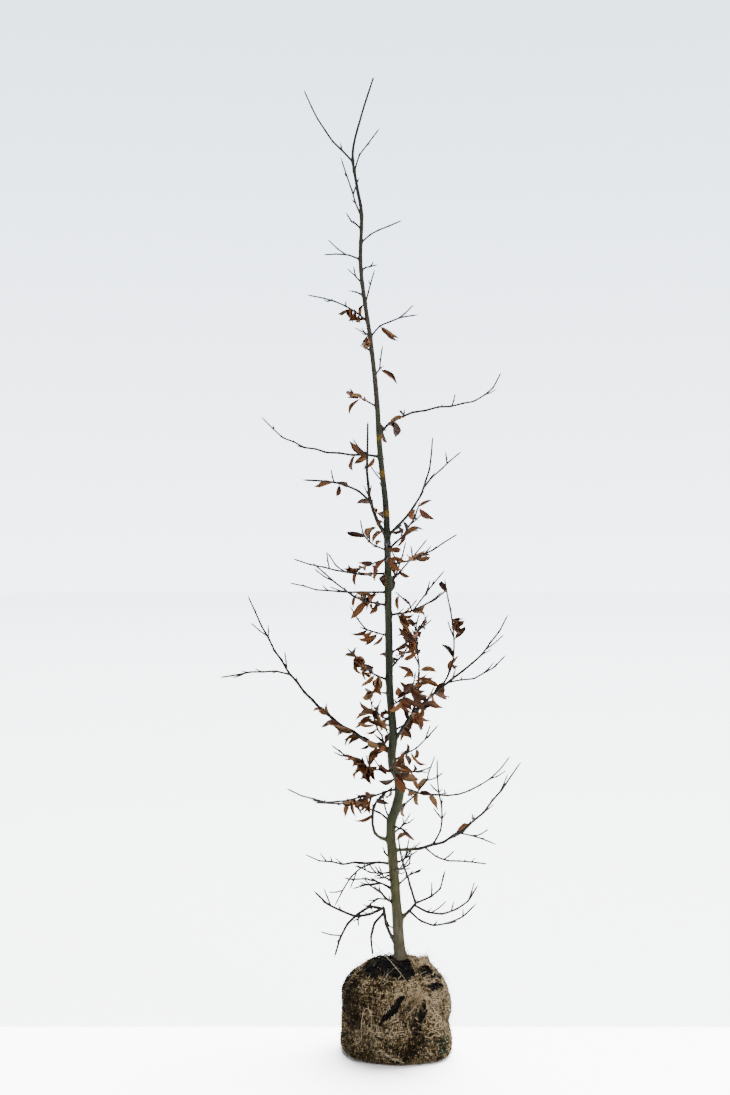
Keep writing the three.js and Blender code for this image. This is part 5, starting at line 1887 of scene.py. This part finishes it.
def make_floor(sizes, colours):
    """A white sheet on a pale floor, in soft light of their own, so that the tree casts a soft shadow."""
    floor = added(bpy.ops.mesh.primitive_circle_add, "floor", vertices=96, radius=FLOOR_RADIUS,
                  fill_type="NGON", location=(0, 0, FLOOR_LEVEL))
    far = Finish("floor", colours.floor_far, 0.95)
    distance = far.node("ShaderNodeVectorMath", {0: far.coordinates()}, operation="LENGTH")
    away = far.spread(distance.outputs["Value"], 2.0, 30.0)
    far.colour(far.mix(away, colours.floor_near, colours.floor_far))
    floor.data.materials.append(far.material)
    sheet = added(bpy.ops.mesh.primitive_plane_add, "floor_sheet", size=1, location=(0, -2.82, 0))
    sheet.scale = (9, 6, 1)
    sheet.data.materials.append(plain_finish("floor_sheet", colours.floor, 0.9))
    lit = bpy.data.collections.new("floor_light")
    for piece in (floor, sheet):
        lit.objects.link(piece)
        piece.visible_diffuse = False
    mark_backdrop(floor, sheet)
    overhead = added(bpy.ops.object.light_add, "floor_light", type="SUN", location=(0, 0, 5))
    overhead.data.energy = sizes.floor_power
    overhead.data.angle = math.radians(60)
    look_along(overhead, (0.25, 0.5, 1.0))
    overhead.light_linking.receiver_collection = lit


def make_sky(sizes, colours):
    """A plain backdrop far off that neither lights the tree nor shades it, and even light from all round."""
    dome = added(bpy.ops.mesh.primitive_uv_sphere_add, "backdrop", segments=64, ring_count=32,
                 radius=DOME_RADIUS)
    edit((bpy.ops.mesh.bisect, {"plane_co": (0, 0, -1), "plane_no": (0, 0, 1), "clear_inner": True}))
    dome.data.materials.append(glow_finish("backdrop", GLOW, GLOW_HEIGHT))
    for rays in ("diffuse", "glossy", "transmission", "shadow"):
        setattr(dome, "visible_" + rays, False)
    dome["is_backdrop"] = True
    world = bpy.data.worlds.new("studio")
    bpy.context.scene.world = world
    world.use_nodes = True
    sky = world.node_tree.nodes["Background"]
    sky.inputs["Color"].default_value = (*colours.sky, 1)
    sky.inputs["Strength"].default_value = sizes.sky_strength


def make_stage(sizes, colours):
    """A pale floor under a pale backdrop, soft lights from both sides and behind, and the camera."""
    make_floor(sizes, colours)
    make_sky(sizes, colours)
    lights = [
        ("key", (2.7, -2.6, 3.2), 2.0, sizes.key_power),
        ("fill", (-3.0, -2.0, 2.4), 2.6, sizes.fill_power),
        ("back", (-0.6, 2.6, 3.2), 2.2, sizes.back_power),
    ]
    for name, place, size, power in lights:
        light = added(bpy.ops.object.light_add, name, type="AREA", location=place)
        light.data.shape = "DISK"
        light.data.size = size
        light.data.energy = power
        look_along(light, LIGHTS_AIM - Vector(place), "-Z")
    camera = added(bpy.ops.object.camera_add, location=CAMERA.place, rotation=(math.pi / 2, 0, 0))
    camera.data.lens = CAMERA.lens
    camera.data.sensor_width = CAMERA.sensor
    bpy.context.scene.camera = camera


# ---------------- sizes and colours that a user may change


def tone(name, description, *colour):
    return bpy.props.FloatVectorProperty(
        name=name, description=description, default=colour, subtype="COLOR", size=3, min=0, max=1)


def length(name, description, value, low, high):
    """A length property, given here in millimetres and kept in Blender's own unit."""
    return bpy.props.FloatProperty(name=name, description=description, default=value * MM, min=low * MM,
                                   max=high * MM, unit="LENGTH", subtype="DISTANCE", precision=5)


def number(name, description, value, low=0):
    return bpy.props.IntProperty(name=name, description=description, default=value, min=low)


def power(name, description, value, unit="POWER"):
    return bpy.props.FloatProperty(name=name, description=description, default=value, min=0, unit=unit)


class SaplingSizes(bpy.types.PropertyGroup):
    """Sizes of what is made around the solids."""

    bark_step: length("Bark step", "Distance between rings along the trunk", 3.2, 1, 20)
    bough_step: length("Bough step", "Distance between rings along a bough", 2.6, 1, 20)
    trunk_sides: number("Trunk sides", "Sides of the trunk", 28, 8)
    bough_sides: number("Bough sides", "Sides of a bough", 14, 6)
    twig_sides: number("Twig sides", "Sides of a stem", 8, 3)
    bud_length: length("Bud length", "Length of a side bud", 7.5, 1, 20)
    leaf_width: bpy.props.FloatProperty(
        name="Leaf width", description="A blade's width as a share of its length", default=0.47,
        min=0.1, max=1, subtype="FACTOR")
    leaf_thickness: length("Leaf thickness", "Thickness of a dry blade", 0.4, 0.05, 2)
    weave_pitch: length("Weave pitch", "Distance from yarn to yarn in the hessian", 4.9, 2, 20)
    yarn_radius: length("Yarn radius", "Half the thickness of a hessian yarn", 1.05, 0.2, 5)
    soil_inset: length("Soil inset", "How far the earth lies inside the wrap", 6.5, 2, 20)
    crumbs: number("Crumbs", "Loose crumbs of earth in the mouth", 620)
    roots: number("Roots", "Fine roots that show in the mouth", 46)
    fibres: number("Fibres", "Fibres that stand off the hessian", 3200)
    sky_strength: power("Sky", "Brightness of the sky", 0.34, "NONE")
    key_power: power("Key light", "Light from the upper right", 130)
    fill_power: power("Fill light", "Light from the upper left", 35)
    back_power: power("Back light", "Light from above and behind", 60)
    floor_power: power("Floor light", "Light that falls on the floor alone", 38, "NONE")


class SaplingColours(bpy.types.PropertyGroup):
    """Base colours of every finish."""

    bark_foot: tone("Bark, foot", "Grey-brown bark just above the earth", 0.225, 0.2, 0.135)
    bark_olive: tone("Bark, low", "Olive bark of the lowest stretch", 0.2, 0.19, 0.096)
    bark_middle: tone("Bark, middle", "Green-grey bark below the dogleg", 0.056, 0.06, 0.031)
    bark_dark: tone("Bark, dark", "Dark green bark behind the leaves", 0.017, 0.02, 0.0105)
    bark_ochre: tone("Bark, ochre rings", "Ochre rings below the upper limbs", 0.3, 0.17, 0.02)
    bark_scar: tone("Bark, dark ring", "Dark ring between the ochre ones", 0.012, 0.01, 0.01)
    bark_upper: tone("Bark, upper", "Grey-brown bark above the leaves", 0.055, 0.048, 0.034)
    bark_top: tone("Bark, top", "Dark bark of the leader", 0.02, 0.017, 0.015)
    algae: tone("Algae", "Green film on the bark", 0.06, 0.075, 0.03)
    lenticel: tone("Pores", "Pale pores in the bark", 0.2, 0.17, 0.12)
    twig: tone("Twig", "Dark twig bark", 0.009, 0.0075, 0.0065)
    twig_worn: tone("Twig, grey", "Grey film on the twigs", 0.032, 0.026, 0.021)
    bud: tone("Bud", "Red-brown bud scales", 0.07, 0.034, 0.02)
    bud_dark: tone("Bud, dark", "Dark bud scales", 0.032, 0.02, 0.015)
    leaf_rust: tone("Leaf, rust", "Most common dry leaf", 0.19, 0.074, 0.026)
    leaf_amber: tone("Leaf, amber", "Lighter dry leaf", 0.3, 0.14, 0.055)
    leaf_umber: tone("Leaf, umber", "Dark dry leaf", 0.055, 0.021, 0.01)
    leaf_chestnut: tone("Leaf, chestnut", "Reddish dry leaf", 0.1, 0.036, 0.016)
    leaf_tan: tone("Leaf, tan", "Palest dry leaf", 0.38, 0.21, 0.1)
    tape: tone("Tape", "Dark tape of the tie", 0.016, 0.02, 0.028)
    # The earth's own dark colour, darkened to near black as painted shade where it shows between the yarns.
    soil: tone("Soil", "Damp earth", 0.0048, 0.0044, 0.0042)
    soil_dry: tone("Soil, dry", "Drier crumbs of earth", 0.024, 0.0225, 0.02)
    root: tone("Root", "Fine roots", 0.3, 0.2, 0.11)
    yarn_straw: tone("Yarn, straw", "Bleached hessian yarn", 0.74, 0.58, 0.37)
    yarn_tan: tone("Yarn, tan", "Light hessian yarn", 0.39, 0.28, 0.14)
    yarn_brown: tone("Yarn, brown", "Common hessian yarn", 0.17, 0.115, 0.05)
    yarn_umber: tone("Yarn, umber", "Soiled hessian yarn", 0.055, 0.037, 0.015)
    yarn_damp: tone("Yarn, damp", "Wet hessian yarn", 0.014, 0.009, 0.004)
    yarn_moss: tone("Yarn, moss", "Yarn with a green stain", 0.03, 0.07, 0.045)
    twine: tone("Twine", "Pale twine", 0.72, 0.62, 0.46)
    straw: tone("Straw", "Loops of straw", 0.78, 0.6, 0.36)
    floor_near: tone("Floor, near", "Pale floor round the sheet", 0.54, 0.56, 0.58)
    floor_far: tone("Floor, far", "Pale floor far off", 0.38, 0.41, 0.44)
    floor: tone("Sheet", "White sheet under the ball", 0.9, 0.9, 0.9)
    sky: tone("Sky", "Pale light from all round", 0.92, 0.95, 1.0)


# ---------------- operators, panel and main


def chosen(context):
    """The panel's sizes, with every length in millimetres, and its colours."""
    group = context.scene.sapling_sizes
    sizes = {}
    for name in group.__annotations__:
        is_length = group.bl_rna.properties[name].unit == "LENGTH"
        sizes[name] = getattr(group, name) / MM if is_length else getattr(group, name)
    return Record(**sizes), context.scene.sapling_colours


def run(context, *makers):
    """What every operator does: it makes its pieces, the same each time. An error in one stops the script."""
    noise.seed_set(SEEDS["wrinkles"])
    for make in makers:
        make(*chosen(context))
    return {"FINISHED"}


class SAPLING_OT_bark(bpy.types.Operator):
    """Trunk and bare boughs with their bark in relief"""

    bl_idname = "sapling.bark"
    bl_label = "Bark"

    def execute(self, context):
        return run(context, make_bark)


class SAPLING_OT_twigs(bpy.types.Operator):
    """Stems, forks, twigs and fine twigs, joined in four tiers"""

    bl_idname = "sapling.twigs"
    bl_label = "Twigs"

    def execute(self, context):
        return run(context, make_twigs)


class SAPLING_OT_buds(bpy.types.Operator):
    """A pointed bud at every joint and tip"""

    bl_idname = "sapling.buds"
    bl_label = "Buds"

    def execute(self, context):
        return run(context, make_buds)


class SAPLING_OT_leaves(bpy.types.Operator):
    """Dry curled leaves, joined by tint"""

    bl_idname = "sapling.leaves"
    bl_label = "Leaves"

    def execute(self, context):
        return run(context, make_leaves)


class SAPLING_OT_tie(bpy.types.Operator):
    """The band of tape on the trunk"""

    bl_idname = "sapling.tie"
    bl_label = "Tie"

    def execute(self, context):
        return run(context, make_tie)


class SAPLING_OT_soil(bpy.types.Operator):
    """Earth, crumbs and fine roots"""

    bl_idname = "sapling.soil"
    bl_label = "Soil"

    def execute(self, context):
        return run(context, make_soil, make_roots)


class SAPLING_OT_wrap(bpy.types.Operator):
    """The hessian as single woven yarns, with its loose fibres"""

    bl_idname = "sapling.wrap"
    bl_label = "Hessian wrap"

    def execute(self, context):
        return run(context, make_wrap, make_fibres)


class SAPLING_OT_knot(bpy.types.Operator):
    """The tied bunch of hessian, twine and straw"""

    bl_idname = "sapling.knot"
    bl_label = "Knot and strands"

    def execute(self, context):
        return run(context, make_knot, make_strands)


class SAPLING_OT_stage(bpy.types.Operator):
    """Floor, lights and camera"""

    bl_idname = "sapling.stage"
    bl_label = "Stage"

    def execute(self, context):
        return run(context, make_stage)


STEPS = (
    SAPLING_OT_bark, SAPLING_OT_twigs, SAPLING_OT_buds, SAPLING_OT_leaves, SAPLING_OT_tie,
    SAPLING_OT_soil, SAPLING_OT_wrap, SAPLING_OT_knot, SAPLING_OT_stage,
)


class SAPLING_PT_panel(bpy.types.Panel):
    """The sapling's steps, sizes and colours"""

    bl_idname = "SAPLING_PT_panel"
    bl_label = "Sapling"
    bl_space_type = "VIEW_3D"
    bl_region_type = "UI"
    bl_category = "Sapling"

    def draw(self, context):
        for step in STEPS:
            self.layout.operator(step.bl_idname)
        for group in (context.scene.sapling_sizes, context.scene.sapling_colours):
            box = self.layout.box()
            for name in group.__annotations__:
                box.prop(group, name)


CLASSES = (SaplingSizes, SaplingColours, *STEPS, SAPLING_PT_panel)


def register():
    for cls in CLASSES:
        bpy.utils.register_class(cls)
    bpy.types.Scene.sapling_sizes = bpy.props.PointerProperty(type=SaplingSizes)
    bpy.types.Scene.sapling_colours = bpy.props.PointerProperty(type=SaplingColours)


def unregister():
    del bpy.types.Scene.sapling_colours
    del bpy.types.Scene.sapling_sizes
    for cls in reversed(CLASSES):
        bpy.utils.unregister_class(cls)


def main():
    register()
    for step in STEPS:
        group, name = step.bl_idname.split(".")
        getattr(getattr(bpy.ops, group), name)()
    bounds = [list(corner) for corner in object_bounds()]


if __name__ == "__main__":
    main()
